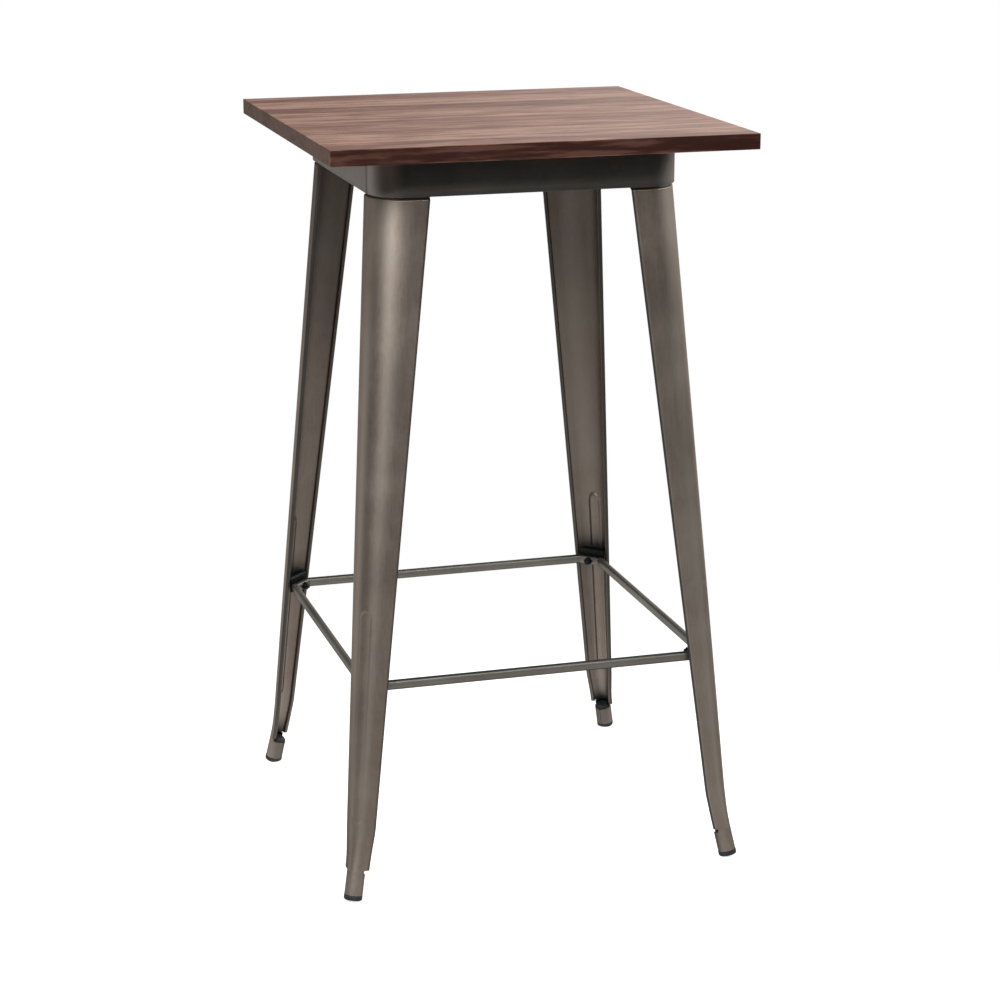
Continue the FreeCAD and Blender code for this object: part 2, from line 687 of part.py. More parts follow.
def makeLegBolts():
    bolts, washers, nuts = [], [], []
    spots = [(f"{sx} * {x}", f"{sy} * {y}") for sx in (1, -1) for sy in (1, -1)
             for x, y in (("bolt_near", "bolt_far"), ("bolt_far", "bolt_near"))]
    for index, (x, y) in enumerate(spots, 1):
        shankEnd = "leg_top - leg_nut - leg_bolt_end"
        headSeat = "gusset_top + leg_washer_sheet"
        head = hexagon(f"LegBoltHead{index}", "leg_bolt_flats", "leg_bolt_head")
        setAt(head, x, y, headSeat)
        shank = cylinder(f"LegBoltShank{index}", "leg_bolt / 2", f"{headSeat} - ({shankEnd})")
        setAt(shank, x, y, shankEnd)
        bolts.append(fuse(f"LegBolt{index}", head, shank))
        disc = cylinder(f"LegDisc{index}", "leg_washer / 2", "leg_washer_sheet")
        setAt(disc, x, y, "gusset_top")
        block = hexagon(f"LegNutBlock{index}", "leg_bolt_flats", "leg_nut")
        setAt(block, x, y, "leg_top - leg_nut")
        bore = cylinder(f"LegBore{index}", "leg_bolt / 2 + thread_clearance", "2 * gusset_drop")
        setAt(bore, x, y, "leg_top - gusset_drop")
        washers.append(cut(f"LegWasher{index}", disc, bore))
        nuts.append(cut(f"LegNut{index}", block, bore))
    group("leg_bolts", bolts)
    group("leg_washers", washers)
    group("leg_nuts", nuts)


def makeRestBolts():
    bolts, washers, nuts = [], [], []
    for corner, angle in corners.items():
        turn = Rotation(Vector(0, 0, 1), angle + 45).multiply(Rotation(Vector(0, 1, 0), 90))
        sign_x, sign_y = signs(angle)

        def setOut(thing, distance):
            """Seat a piece on the corner's diagonal, its own axis pointing outwards."""
            setAt(thing, f"{sign_x} * ({distance}) / sqrt(2)",
                  f"{sign_y} * ({distance}) / sqrt(2)", "rest_bolt_height", turn)
            return thing

        nutSeat = "bevel_inside - rest_washer_sheet"
        boltEnd = f"{nutSeat} - rest_nut - rest_bolt_end"
        head = setOut(hexagon("RestHead_" + corner, "rest_bolt_flats", "rest_bolt_head"),
                      "bracket_back")
        shank = setOut(cylinder("RestShank_" + corner, "rest_bolt / 2",
                                f"bracket_back - ({boltEnd})"), boltEnd)
        bolts.append(fuse("RestBolt_" + corner, head, shank))
        disc = setOut(cylinder("RestDisc_" + corner, "rest_washer / 2", "rest_washer_sheet"),
                      nutSeat)
        block = setOut(hexagon("RestBlock_" + corner, "rest_bolt_flats", "rest_nut"),
                       f"{nutSeat} - rest_nut")
        bore = setOut(cylinder("RestBore_" + corner, "rest_bolt / 2 + thread_clearance",
                               f"bracket_back - ({boltEnd})"), boltEnd)
        washers.append(cut("RestWasher_" + corner, disc, bore))
        nuts.append(cut("RestNut_" + corner, block, bore))
    group("footrest_bolts", bolts)
    group("footrest_washers", washers)
    group("footrest_nuts", nuts)


screwHoles = makeScrews()
makeTop(screwHoles)
makeSkirt(screwHoles)
for corner, angle in corners.items():
    makeCornerPlate("apron_gusset_" + corner, angle, "skirt_inside", "gusset_far", "gusset_near",
                    "skirt_inner_radius", "gusset_bottom", "gusset_sheet")
    makeCornerPlate("leg_cap_" + corner, angle, "leg_face_top", "cap_far", "cap_near",
                    "leg_corner_top", "leg_top", "cap_sheet")
    makeRingCorner("footrest_corner_" + corner, angle)
    makeBracket("footrest_bracket_" + corner, angle)
for side, angle in (("back", 0), ("left", 90), ("front", 180), ("right", 270)):
    makeBar("footrest_bar_" + side, angle)
makeLegs()
makeFeet()
makeLegBolts()
makeRestBolts()
doc.recompute()

# ---- check, then write one file for each piece ----

for thing in doc.Objects:
    if "Invalid" in thing.State or "Error" in thing.State:
        raise RuntimeError(f"{thing.Name} failed: {thing.State}")
for piece in parts:
    if piece.Shape.isNull() or not piece.Shape.isValid() or not piece.Shape.Solids:
        raise RuntimeError(f"{piece.Label} has no valid solid")

os.makedirs("parts", exist_ok=True)
for piece in parts:
    piece.Shape.exportStep(f"parts/{piece.Label}.step")
    print(piece.Label, len(piece.Shape.Solids), "solid(s)", round(piece.Shape.Volume), "mm3")
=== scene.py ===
import math

import bpy
import numpy as np
from mathutils import Matrix, Vector


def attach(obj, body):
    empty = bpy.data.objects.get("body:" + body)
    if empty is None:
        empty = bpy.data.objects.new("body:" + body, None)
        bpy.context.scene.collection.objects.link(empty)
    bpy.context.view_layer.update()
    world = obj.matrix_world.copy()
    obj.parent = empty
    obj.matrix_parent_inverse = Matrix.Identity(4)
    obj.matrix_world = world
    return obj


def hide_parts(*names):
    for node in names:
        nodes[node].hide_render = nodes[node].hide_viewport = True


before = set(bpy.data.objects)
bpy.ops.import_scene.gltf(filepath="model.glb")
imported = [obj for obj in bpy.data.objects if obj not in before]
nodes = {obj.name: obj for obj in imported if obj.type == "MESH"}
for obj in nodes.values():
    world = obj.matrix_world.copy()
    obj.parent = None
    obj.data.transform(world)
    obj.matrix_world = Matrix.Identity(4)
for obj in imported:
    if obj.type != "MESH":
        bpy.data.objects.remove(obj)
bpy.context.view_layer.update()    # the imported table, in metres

scene = bpy.context.scene
corners = {"back_right": 0, "back_left": 90, "front_left": 180, "front_right": 270}
sides = {"back": 0, "left": 90, "front": 180, "right": 270}
print("frame loaded,", len(nodes), "nodes")


# camera: where it stands, where it looks and its lens in millimetres

cameraView = {"place": (-1.01435, -3.53194, 1.51477), "yaw": 16.279, "pitch": 15.586,
              "roll": -0.07, "lens": 91.70}


def newObject(name, data):
    made = bpy.data.objects.new(name, data)
    scene.collection.objects.link(made)
    return made


def makeCamera():
    yaw, pitch, roll = (math.radians(cameraView[key]) for key in ("yaw", "pitch", "roll"))
    ahead = Vector((math.sin(yaw) * math.cos(pitch), math.cos(yaw) * math.cos(pitch),
                    -math.sin(pitch)))
    across = Vector((math.cos(yaw), -math.sin(yaw), 0))
    up = across.cross(ahead)
    across, up = (across * math.cos(roll) + up * math.sin(roll),
                  up * math.cos(roll) - across * math.sin(roll))
    data = bpy.data.cameras.new("camera")
    data.lens = cameraView["lens"]
    data.sensor_width = 36
    data.clip_start, data.clip_end = 0.05, 60
    camera = newObject("camera", data)
    camera.matrix_world = Matrix.Translation(cameraView["place"]) @ Matrix(
        (across, up, -ahead)).transposed().to_4x4()
    scene.camera = camera


makeCamera()
scene.view_settings.view_transform = "Standard"
print("camera placed")


# ways to build meshes, all in millimetres until they are put into Blender

def joined(*parts):    # numbers and arrays stretched to one size and laid side by side
    return np.stack(np.broadcast_arrays(*parts), axis=-1)


def around(radius, turn, level):    # circles about the Z axis
    return joined(radius * np.cos(turn), radius * np.sin(turn), level)


def turned(points, degrees):    # about the table's upright axis
    cos, sin = math.cos(math.radians(degrees)), math.sin(math.radians(degrees))
    x, y, z = points[..., 0], points[..., 1], points[..., 2]
    return joined(cos * x - sin * y, sin * x + cos * y, z)


def placed(points, origin, axis):    # local Z laid along an axis
    turn = np.array(Vector(axis).to_track_quat("Z", "Y").to_matrix())
    return points @ turn.T + np.array(origin, float)


# Four-sided faces between the rows and columns of a grid, joined up where a direction is round.
def gridFaces(rows, columns, roundRows=False, roundColumns=False):
    index = np.arange(rows * columns).reshape(rows, columns)
    if roundRows:
        index = np.vstack([index, index[:1]])
    if roundColumns:
        index = np.hstack([index, index[:, :1]])
    return joined(index[:-1, :-1], index[1:, :-1], index[1:, 1:], index[:-1, 1:]).reshape(-1, 4)


# A wall between two grids of one size, its outer and its inner face, with a rim round its edges.
# A grid may come with the light painted at each point, from -1, painted shade, to 1, highlight.
def wallShape(outer, inner, paintedLight=(0.0, 0.0)):
    rows, columns = outer.shape[:2]
    count = rows * columns
    front = gridFaces(rows, columns)
    index = np.arange(count).reshape(rows, columns)
    lines = [index[0], index[-1, ::-1], index[::-1, 0], index[:, -1]]
    rims = [joined(a[:-1], a[1:], a[1:] + count, a[:-1] + count) for a in lines]
    points = np.concatenate([outer.reshape(-1, 3), inner.reshape(-1, 3)])
    values = [np.broadcast_to(value, (rows, columns)).reshape(-1) for value in paintedLight]
    return points, np.concatenate([front, front[:, ::-1] + count] + rims), np.concatenate(values)


# A closed surface from a grid whose columns run round and whose first and last rows are points,
# or whose rows run round as well.
def roundShape(grid, roundRows=False, paintedLight=0.0):
    rows, columns = grid.shape[:2]
    return (grid.reshape(-1, 3), gridFaces(rows, columns, roundRows, True),
            np.broadcast_to(paintedLight, (rows, columns)).reshape(-1))


# Points that lie together are merged, so that seams and poles close, and a shape whose signed
# volume is negative has its faces turned round.
def closeShape(points, faces, paintedLight):
    keys = np.round(points * 1e4).astype(np.int64)
    _, first, where = np.unique(keys, axis=0, return_index=True, return_inverse=True)
    points, faces = points[first], where.reshape(-1)[faces]
    same = faces == np.roll(faces, -1, axis=1)
    quads = faces[same.sum(axis=1) == 0]
    folded = same.sum(axis=1) == 1
    triangles = faces[folded][~same[folded]].reshape(-1, 3)
    halves = np.concatenate([quads[:, [0, 1, 2]], quads[:, [0, 2, 3]], triangles])
    a, b, c = (points[halves[:, k]] for k in range(3))
    if np.einsum("ij,ij->", a, np.cross(b, c)) < 0:
        quads, triangles = quads[:, ::-1], triangles[:, ::-1]
    return points, quads, triangles, paintedLight[first]


def addPiece(name, shapes, material, replaced, sharpAngle=35):
    allPoints, allFaces, allRubbed, count = [], [], [], 0
    for points, faces, paintedLight in shapes:
        points, quads, triangles, paintedLight = closeShape(points, faces, paintedLight)
        allPoints.append(points)
        allRubbed.append(paintedLight)
        allFaces += (quads + count).tolist() + (triangles + count).tolist()
        count += len(points)
    mesh = bpy.data.meshes.new(name)
    mesh.from_pydata((np.concatenate(allPoints) * 0.001).tolist(), [], allFaces)
    mesh.update()
    values = mesh.attributes.new("paintedLight", "FLOAT", "POINT")
    values.data.foreach_set("value", np.concatenate(allRubbed).astype(np.float32))
    mesh.shade_smooth()
    mesh.set_sharp_from_angle(angle=math.radians(sharpAngle))
    mesh.materials.append(material)
    piece = newObject(name, mesh)
    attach(piece, "root")
    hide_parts(*replaced)
    return piece


def smooth(value):    # 0 to 1 with a level start and end
    value = np.clip(value, 0, 1)
    return value * value * (3 - 2 * value)


def rise(value, start, over):    # 0 up to the start, then to 1 over a stretch
    return smooth((value - start) / over)


def hump(value, middle, width):    # 1 at the middle, fading to both sides
    return np.exp(-((value - middle) / width) ** 2)


# materials

def linear(code):    # sRGB hex to the linear colour that Blender takes
    values = [int(code[k:k + 2], 16) / 255 for k in (1, 3, 5)]
    return tuple(v / 12.92 if v <= 0.04045 else ((v + 0.055) / 1.055) ** 2.4
                 for v in values) + (1.0,)


# Each input is joined to a socket, or to the first output of a node, or set to a value.
def setInputs(tree, node, inputs):
    for key, value in inputs.items():
        if isinstance(value, bpy.types.Node):
            value = value.outputs[0]
        if isinstance(value, bpy.types.NodeSocket):
            tree.links.new(value, node.inputs[key])
        else:
            node.inputs[key].default_value = value


def addNode(tree, kind, inputs, stops=(), **settings):    # stops are a colour ramp's colours
    node = tree.nodes.new("ShaderNode" + kind)
    for key, value in settings.items():
        setattr(node, key, value)
    setInputs(tree, node, inputs)
    for k, (spot, code) in enumerate(stops):
        band = node.color_ramp.elements
        element = band[k] if k < len(band) else band.new(spot)
        element.position, element.color = spot, linear(code)
    return node


def span(side, ends):    # the two inputs of a range
    return {side + " Min": ends[0], side + " Max": ends[1]}


def emptyTree(owner):    # of a material or a world
    owner.use_nodes = True
    owner.node_tree.nodes.clear()
    return owner.node_tree


def newMaterial(name):
    material = bpy.data.materials.new(name)
    tree = emptyTree(material)
    shader = addNode(tree, "BsdfPrincipled", {})
    addNode(tree, "OutputMaterial", {0: shader})
    place = addNode(tree, "TexCoord", {}).outputs["Object"]
    return material, tree, shader, place


# Gunmetal steel: pressed cold-rolled sheet, stained dark, rubbed back and sealed with a thin clear
# lacquer. The lacquer gives a soft shine over a metal that stays brown in the thick places and
# grey where it was rubbed, with faint clouds a hand wide and rubbing marks along the piece. Shade
# is painted blue-black into rolls, creases and shaded places, and highlights are painted on bends.
# The apron and the ring are greyer than the legs; the brackets are painted near black as shade.
# Seen at a low angle the lacquer stays dull, which the specular tint gives.
steel = {"dark": "#96887d", "middle": "#a3958a", "pale": "#afa397", "paintedShade": "#414545",
         "paintedLight": "#c4bbaf", "cloud": 110, "fleck": 5, "mark": 1.6, "markLength": 90,
         "roughness": (0.44, 0.52), "peel": 0.9, "edge": "#a8a8a8",
         "black": "#2c2d2e", "blue": "#3c403f",
         "apronDark": "#a39c95", "apronMiddle": "#b0a9a2", "apronPale": "#bab4ae",
         "ringDark": "#918c85", "ringMiddle": "#9e9991", "ringPale": "#aaa59d"}


def makeSteel(name, along, shades=("dark", "middle", "pale")):
    material, tree, shader, place = newMaterial(name)
    cloud = addNode(tree, "TexNoise", {
        "Vector": place, "Scale": 1000 / steel["cloud"], "Detail": 4.0, "Roughness": 0.55})
    fleck = addNode(tree, "TexNoise", {
        "Vector": place, "Scale": 1000 / steel["fleck"], "Detail": 3.0, "Roughness": 0.6})
    fine, coarse = 1000 / steel["mark"], 1000 / steel["markLength"]
    stretched = addNode(tree, "Mapping", {
        "Vector": place, "Scale": tuple(coarse if k == along else fine for k in range(3))})
    mark = addNode(tree, "TexNoise", {"Vector": stretched, "Scale": 1.0, "Detail": 2.0})
    mixed = addNode(tree, "Mix", {0: 0.2, 2: cloud, 3: fleck})
    mixed = addNode(tree, "Mix", {0: 0.25, 2: mixed, 3: mark})
    colour = addNode(tree, "ValToRGB", {0: mixed}, stops=[
        (spot, steel[shade]) for spot, shade in zip((0.36, 0.5, 0.64), shades)])
    # the painted light and shade: -1 is painted shade, 1 a painted highlight
    paintedLevel = addNode(tree, "Attribute", {}, attribute_name="paintedLight").outputs["Fac"]
    for shade, full in (("paintedShade", -1.0), ("paintedLight", 1.0)):
        share = addNode(tree, "MapRange", {"Value": paintedLevel, **span("From", (0.0, full))})
        colour = addNode(tree, "Mix", {
            0: share, 6: colour, 7: linear(steel[shade])}, data_type="RGBA").outputs[2]
    rough = addNode(tree, "MapRange", {
        "Value": mixed, **span("From", (0.35, 0.65)), **span("To", steel["roughness"])})
    peel = addNode(tree, "TexNoise", {
        "Vector": place, "Scale": 1000 / steel["peel"], "Detail": 1.0})
    lump = addNode(tree, "Mix", {0: 0.5, 2: peel, 3: mark})
    bump = addNode(tree, "Bump", {"Height": lump, "Strength": 0.06, "Distance": 0.0003})
    setInputs(tree, shader, {
        "Base Color": colour, "Roughness": rough, "Normal": bump,
        "Metallic": 1.0, "Specular Tint": linear(steel["edge"])})
    return material


steelUpright = makeSteel("gunmetal lacquered steel, upright", 2)
apronSteel = makeSteel("gunmetal lacquered steel, apron", 0,
                       ("apronDark", "apronMiddle", "apronPale"))
ringShades = ("ringDark", "ringMiddle", "ringPale")
ringAlongX = makeSteel("gunmetal lacquered steel, ring along X", 0, ringShades)
ringAlongY = makeSteel("gunmetal lacquered steel, ring along Y", 1, ringShades)
# the brackets are painted near black, a painted shade for the dark hollow behind the ring's corner
paintedShadeSteel = makeSteel("steel painted dark as shade", 0, ("black", "blue", "black"))


# Zinc-plated steel: turned and rolled fasteners with a thin passivated plating, satin and greyer
# than the base, a little uneven where the plating pooled.
zinc = {"dark": "#5f5c58", "pale": "#8a8780", "blackDark": "#24282a", "blackPale": "#3b4144",
        "patch": 3, "roughness": (0.28, 0.42)}


def makeZinc(name, dark, pale):
    material, tree, shader, place = newMaterial(name)
    patch = addNode(tree, "TexNoise", {
        "Vector": place, "Scale": 1000 / zinc["patch"], "Detail": 3.0})
    colour = addNode(tree, "ValToRGB", {0: patch}, stops=[(0.35, zinc[dark]), (0.65, zinc[pale])])
    rough = addNode(tree, "MapRange", {
        "Value": patch, **span("From", (0.35, 0.65)), **span("To", zinc["roughness"])})
    setInputs(tree, shader, {"Base Color": colour, "Roughness": rough, "Metallic": 1.0})
    return material


zincSteel = makeZinc("zinc plated steel, passivated", "dark", "pale")
blackZincSteel = makeZinc("zinc plated steel, passivated black", "blackDark", "blackPale")


# Black rubber: moulded in a blasted tool, matt, with a fine even texture and a dusty bloom.
rubber = {"dark": "#1a1d1e", "bloom": "#323838", "bloomSize": 6, "grit": 0.5, "roughness": 0.62}


def makeRubber():
    material, tree, shader, place = newMaterial("moulded black rubber")
    bloom = addNode(tree, "TexNoise", {
        "Vector": place, "Scale": 1000 / rubber["bloomSize"], "Detail": 4.0})
    colour = addNode(tree, "ValToRGB", {0: bloom}, stops=[
        (0.4, rubber["dark"]), (0.7, rubber["bloom"])])
    grit = addNode(tree, "TexNoise", {
        "Vector": place, "Scale": 1000 / rubber["grit"], "Detail": 1.0})
    bump = addNode(tree, "Bump", {"Height": grit, "Strength": 0.25, "Distance": 0.0002})
    setInputs(tree, shader, {
        "Base Color": colour, "Normal": bump, "Roughness": rubber["roughness"]})
    return material


blackRubber = makeRubber()


# Stained elm, sawn into staves, planed and sprayed with satin lacquer. Each stave has its own
# tone and its own rings: the rings are cylinders about a pith that lies under the stave and
# wanders, which gives long bands with a few flames. Over them lie coarse and fine streaks of the
# stain along the grain. The pores are short dark dashes, drawn about twice as wide as real ones
# so that they show.
wood = {"dark": "#5e3425", "red": "#7d4f3d", "middle": "#956c58", "pale": "#b58d7a",
        "ring": 9.0, "pithDepth": 85, "wander": 30, "wanderLength": 700,
        "streak": 8.5, "streakLength": 100, "fine": 2.2, "fineLength": 60, "patch": 40,
        "patchLength": 300, "pore": 0.7, "poreLength": 14, "roughness": (0.36, 0.48),
        "joint": 0.35, "line": "#2a1812", "uprightTint": "#e6c7c0", "uprightGrain": 1.2, "endDark": "#432d26",
        "endPale": "#604639", "sawn": 0.7, "lacquer": 1.46, "wanderWidth": 140,
        "evenTone": 0.51, "poreSpan": (0.62, 0.72), "poreDark": 0.55, "jointDark": 0.8,
        "endFacing": 0.7, "height": 1.064}    # height of the top face in metres
staves, edge = [], 300    # from the back edge of the top forwards, in millimetres from its middle
for number, (width, pith, tone, shift) in enumerate((
        # width, pith to the side, tone, shift along the grain
        (75, 20, 0.50, 1.7), (70, -45, 0.56, 4.1), (60, 8, 0.47, 7.3), (120, 35, 0.53, 2.9),
        (120, -20, 0.50, 9.2), (100, 50, 0.54, 5.6), (55, -12, 0.49, 3.3))):
    edge -= width
    staves.append({"node": f"top_stave_{number + 1}", "front": edge, "width": width,
                   "pith": pith, "tone": tone, "shift": shift})


def makeWood(stave):
    material, tree, shader, place = newMaterial("stained elm, satin lacquer, " + stave["node"])
    middle = (stave["front"] + stave["width"] / 2) * 0.001
    moved = addNode(tree, "Mapping", {
        "Vector": place, "Location": (stave["shift"], -middle, -wood["height"])})
    # noises drawn out along the grain: how wide and how long each is, and its finer detail
    noises = {}
    for key, wide, long, detail in (("wander", wood["wanderWidth"], wood["wanderLength"], 2.0),
                                    ("streak", wood["streak"], wood["streakLength"], 4.0),
                                    ("fine", wood["fine"], wood["fineLength"], 3.0),
                                    ("patch", wood["patch"], wood["patchLength"], 2.0),
                                    ("pore", wood["pore"], wood["poreLength"], 1.0)):
        scaled = addNode(tree, "VectorMath", {
            0: moved, 1: (1000 / long, 1000 / wide, 1000 / wide)}, operation="MULTIPLY")
        noises[key] = addNode(tree, "TexNoise", {
            "Vector": scaled, "Scale": 1.0, "Detail": detail, "Roughness": 0.6}).outputs
    # distance from the wandering pith, in rings
    offset = addNode(tree, "VectorMath", {
        0: noises["wander"]["Color"], 1: (0.5, 0.5, 0.5)}, operation="SUBTRACT")
    offset = addNode(tree, "VectorMath", {
        0: offset, 1: (0, wood["wander"] * 0.002, wood["wander"] * 0.002)}, operation="MULTIPLY")
    bent = addNode(tree, "VectorMath", {0: moved, 1: offset}, operation="ADD")
    bent = addNode(tree, "VectorMath", {
        0: bent, 1: (0, -stave["pith"] * 0.001, wood["pithDepth"] * 0.001)}, operation="ADD")
    across = addNode(tree, "VectorMath", {0: bent, 1: (0, 1, 1)}, operation="MULTIPLY")
    distance = addNode(tree, "VectorMath", {0: across}, operation="LENGTH")
    rings = addNode(tree, "Math", {
        0: distance.outputs["Value"], 1: 1000 / wood["ring"]}, operation="MULTIPLY")
    bands = addNode(tree, "TexNoise", {
        "W": rings, "Scale": 1.0, "Detail": 2.0, "Roughness": 0.6}, noise_dimensions="1D")
    early = addNode(tree, "Math", {0: rings, 1: 1.0}, operation="PINGPONG")
    # the tone is a mean of all of them, moved by the stave's own tone
    tone = addNode(tree, "Mix", {0: 0.75, 2: bands, 3: noises["streak"]["Fac"]})
    for share, value in ((0.08, early), (0.25, noises["fine"]["Fac"]),
                         (0.1, noises["patch"]["Fac"])):
        tone = addNode(tree, "Mix", {0: share, 2: tone, 3: value})
    tone = addNode(tree, "Math", {0: tone, 1: stave["tone"] - 0.5}, operation="ADD")
    # the upright faces are drawn darker and redder, with the grain drawn more strongly there
    facing = addNode(tree, "TexCoord", {}).outputs["Normal"]
    facing = addNode(tree, "SeparateXYZ", {0: facing}).outputs
    upright = addNode(tree, "Math", {0: facing["Y"]}, operation="ABSOLUTE")
    drawn = addNode(tree, "Math", {0: upright, 1: -wood["uprightGrain"]}, operation="MULTIPLY")
    drawn = addNode(tree, "Mix", {0: drawn, 2: tone, 3: wood["evenTone"]}, clamp_factor=False)
    colour = addNode(tree, "ValToRGB", {0: drawn}, stops=[
        (0.415, wood["dark"]), (0.48, wood["red"]), (0.525, wood["middle"]), (0.59, wood["pale"])])
    # pores, and a thin dark line of glue at the joint with the next stave
    pores = addNode(tree, "MapRange", {
        "Value": noises["pore"]["Fac"], **span("From", wood["poreSpan"]),
        "To Max": wood["poreDark"]})
    edge = addNode(tree, "SeparateXYZ", {0: moved}).outputs["Y"]
    edge = addNode(tree, "Math", {0: edge}, operation="ABSOLUTE")
    joint = addNode(tree, "MapRange", {
        "Value": edge, "From Min": stave["width"] * 0.0005 - wood["joint"] * 0.001,
        "From Max": stave["width"] * 0.0005, "To Max": wood["jointDark"]})
    line = addNode(tree, "Math", {0: pores, 1: joint}, operation="MAXIMUM")
    colour = addNode(tree, "Mix", {0: line, 6: colour, 7: linear(wood["line"])}, data_type="RGBA")
    colour = addNode(tree, "Mix", {
        0: upright, 6: colour.outputs[2], 7: linear(wood["uprightTint"])}, data_type="RGBA",
        blend_type="MULTIPLY")
    # the sawn ends soak up more stain and stay duller
    sawn = addNode(tree, "Math", {0: facing["X"]}, operation="ABSOLUTE")
    sawn = addNode(tree, "Math", {0: sawn, 1: wood["endFacing"]}, operation="GREATER_THAN")
    endColour = addNode(tree, "ValToRGB", {0: tone}, stops=[
        (0.38, wood["endDark"]), (0.6, wood["endPale"])])
    colour = addNode(tree, "Mix", {0: sawn, 6: colour.outputs[2], 7: endColour}, data_type="RGBA")
    rough = addNode(tree, "MapRange", {
        "Value": noises["streak"]["Fac"], **span("From", (0.3, 0.7)),
        **span("To", wood["roughness"])})
    rough = addNode(tree, "Mix", {0: sawn, 2: rough, 3: wood["sawn"]})
    hollow = addNode(tree, "Math", {
        0: noises["streak"]["Fac"], 1: -0.3, 2: line}, operation="MULTIPLY_ADD")
    bump = addNode(tree, "Bump", {
        "Height": hollow, "Strength": 0.35, "Distance": 0.0003}, invert=True)
    setInputs(tree, shader, {
        "Base Color": colour.outputs[2], "Roughness": rough,
        "Normal": bump, "IOR": wood["lacquer"]})
    return material


for stave in staves:
    nodes[stave["node"]].material_slots[0].material = makeWood(stave)
print("wood top finished,", len(staves), "staves")


# legs: the section is a right angle with a round corner and both free edges rolled inwards. It is
# carried down the leg, and the face, the wings and the corner's radius follow the height.

legShape = {"top": 1018, "notch": 44, "skirt": 985, "face": 219.2, "faceRun": 0.07225,
            "wing": 76, "wingRun": 0.04626, "corner": 55.2, "cornerRun": 0.03821,
            "bend": 72.5, "bendRate": 0.0020565, "narrow": 105, "wingEnd": 29.5, "cornerEnd": 13.2,
            "neck": 980.5, "neckStep": 3.2, "neckOver": 2.4, "wall": 1.5, "roll": 3.25,
            "curl": 385, "arcColumns": 34, "beadLow": 123, "beadHigh": 404, "beadDepth": 2.8,
            "beadWidth": 11.8, "beadEnd": 14, "beadSide": 0.45, "outsideBead": 0.4}

# How much painted shade and painted highlight the legs get, and in brackets from where and over
# what that rises, or its middle and its width: turns and the side's arc in degrees, the middle's
# arc in radians, the wing's edge in shares of the wing and heights in millimetres. The last four
# are how much lighter or darker each leg is painted at the three heights.
legPaintedLight = {"roll": 0.75, "rollTurn": (94, 26), "inside": 0.3, "insideTurn": (225, 30),
             "apron": 0.15, "apronHeight": (720, 240), "middle": 0.62, "middleArc": 0.6,
             "side": 0.45, "sideArc": (68, 14), "wingEdge": (0.93, 0.07), "edgeTurn": (90, 8),
             "bracket": 0.6, "bracketHeight": (318, 20), "foot": 0.9, "footHeight": (44, 22),
             "beadHeight": (260, 330), "bead": (0.5, 1.3), "beadEnd": 4, "beadEndOutside": 0.2,
             "brightEdge": 0.8, "darkEdge": 0.45, "heights": (250, 600, 980),
             "back_right": (-0.15, 0.34, 0.1), "back_left": (0.0, 0.05, -0.45),
             "front_left": (0.0, 0.0, 0.0), "front_right": (0.1, 0.12, 0.2)}

bracketShape = {"low": 298.5, "top": 322, "face": 343.66, "sheet": 3, "bend": 4.5, "end": 357.5,
                "halfLow": 21.5, "halfHigh": 22.3, "halfShelf": 15}


def legSizes(height):
    f = legShape
    drop = f["skirt"] - height
    under = np.clip(f["bend"] - height, 0, None)
    face = f["face"] + f["faceRun"] * drop + f["bendRate"] * under ** 2
    share = smooth((f["narrow"] - height) / (f["narrow"] - f["notch"]))
    wing = f["wing"] - f["wingRun"] * drop
    wing = wing + (f["wingEnd"] - wing) * share
    corner = f["corner"] - f["cornerRun"] * drop
    corner = corner + (f["cornerEnd"] - corner) * share
    # the neck that goes up into the apron is pressed inwards by a small step
    neck = f["neckStep"] * rise(height, f["neck"], f["neckOver"])
    return (face - neck)[:, None], (wing - neck)[:, None], (corner - neck)[:, None]


# Half of the section, from the middle of the corner: an arc, the flat wing and the curl of its
# free edge, each with the direction that the outer face points in.
def legHalf(height):
    face, wing, corner = legSizes(height)
    roll, count = legShape["roll"], legShape["arcColumns"]
    centre = face - corner
    start = face - wing + roll
    arc = np.radians(np.linspace(45, 90, count))[None, :]
    flat = np.array([[0.17, 0.33, 0.5, 0.66, 0.8, 0.9, 0.95, 1.0]])
    curl = np.radians(np.linspace(90, legShape["curl"], 27))[None, 1:]
    full = np.ones_like(height)[:, None]
    x = np.hstack([centre + corner * np.cos(arc), centre + (start - centre) * flat,
                   start + roll * np.cos(curl)])
    y = np.hstack([centre + corner * np.sin(arc), face + 0 * flat,
                   face - roll + roll * np.sin(curl)])
    nx = np.hstack([full * np.cos(arc), full * 0 * flat, full * np.cos(curl)])
    ny = np.hstack([full * np.sin(arc), full + 0 * flat, full * np.sin(curl)])
    # the bead is a flat-bottomed hollow about the middle of the corner, round at both ends
    along = np.hstack([corner * (arc - math.pi / 4), full * 99 + 0 * flat, full * 99 + 0 * curl])
    over = np.clip(np.maximum(height - legShape["beadHigh"], legShape["beadLow"] - height), 0,
                   None)[:, None]
    away = np.clip(np.hypot(along / legShape["beadWidth"], over / legShape["beadEnd"]), 0, 1)
    press = smooth((1 - away) / legShape["beadSide"])
    # painted shade on the roll and near the apron, and a painted highlight on the middle of the
    # corner near the apron and on the corner's sides further down
    turn, f = np.degrees(curl), legPaintedLight
    inRoll = f["roll"] * rise(turn, *f["rollTurn"]) * (
        1 - f["inside"] * rise(turn, *f["insideTurn"]))
    byApron = rise(height, *f["apronHeight"])[:, None]
    middle = smooth(1 - (arc - math.pi / 4) / f["middleArc"])
    side = f["side"] * hump(np.degrees(arc), *f["sideArc"])
    paintedShade = np.hstack([byApron * (f["apron"] - f["middle"] * middle) - (1 - byApron) * side,
                         f["apron"] * byApron + 0 * flat, inRoll * full])
    border = np.hstack([0 * arc, rise(flat, *f["wingEdge"]), 1 - rise(turn, *f["edgeTurn"])])
    return joined(x, y), joined(nx, ny), press, paintedShade, border


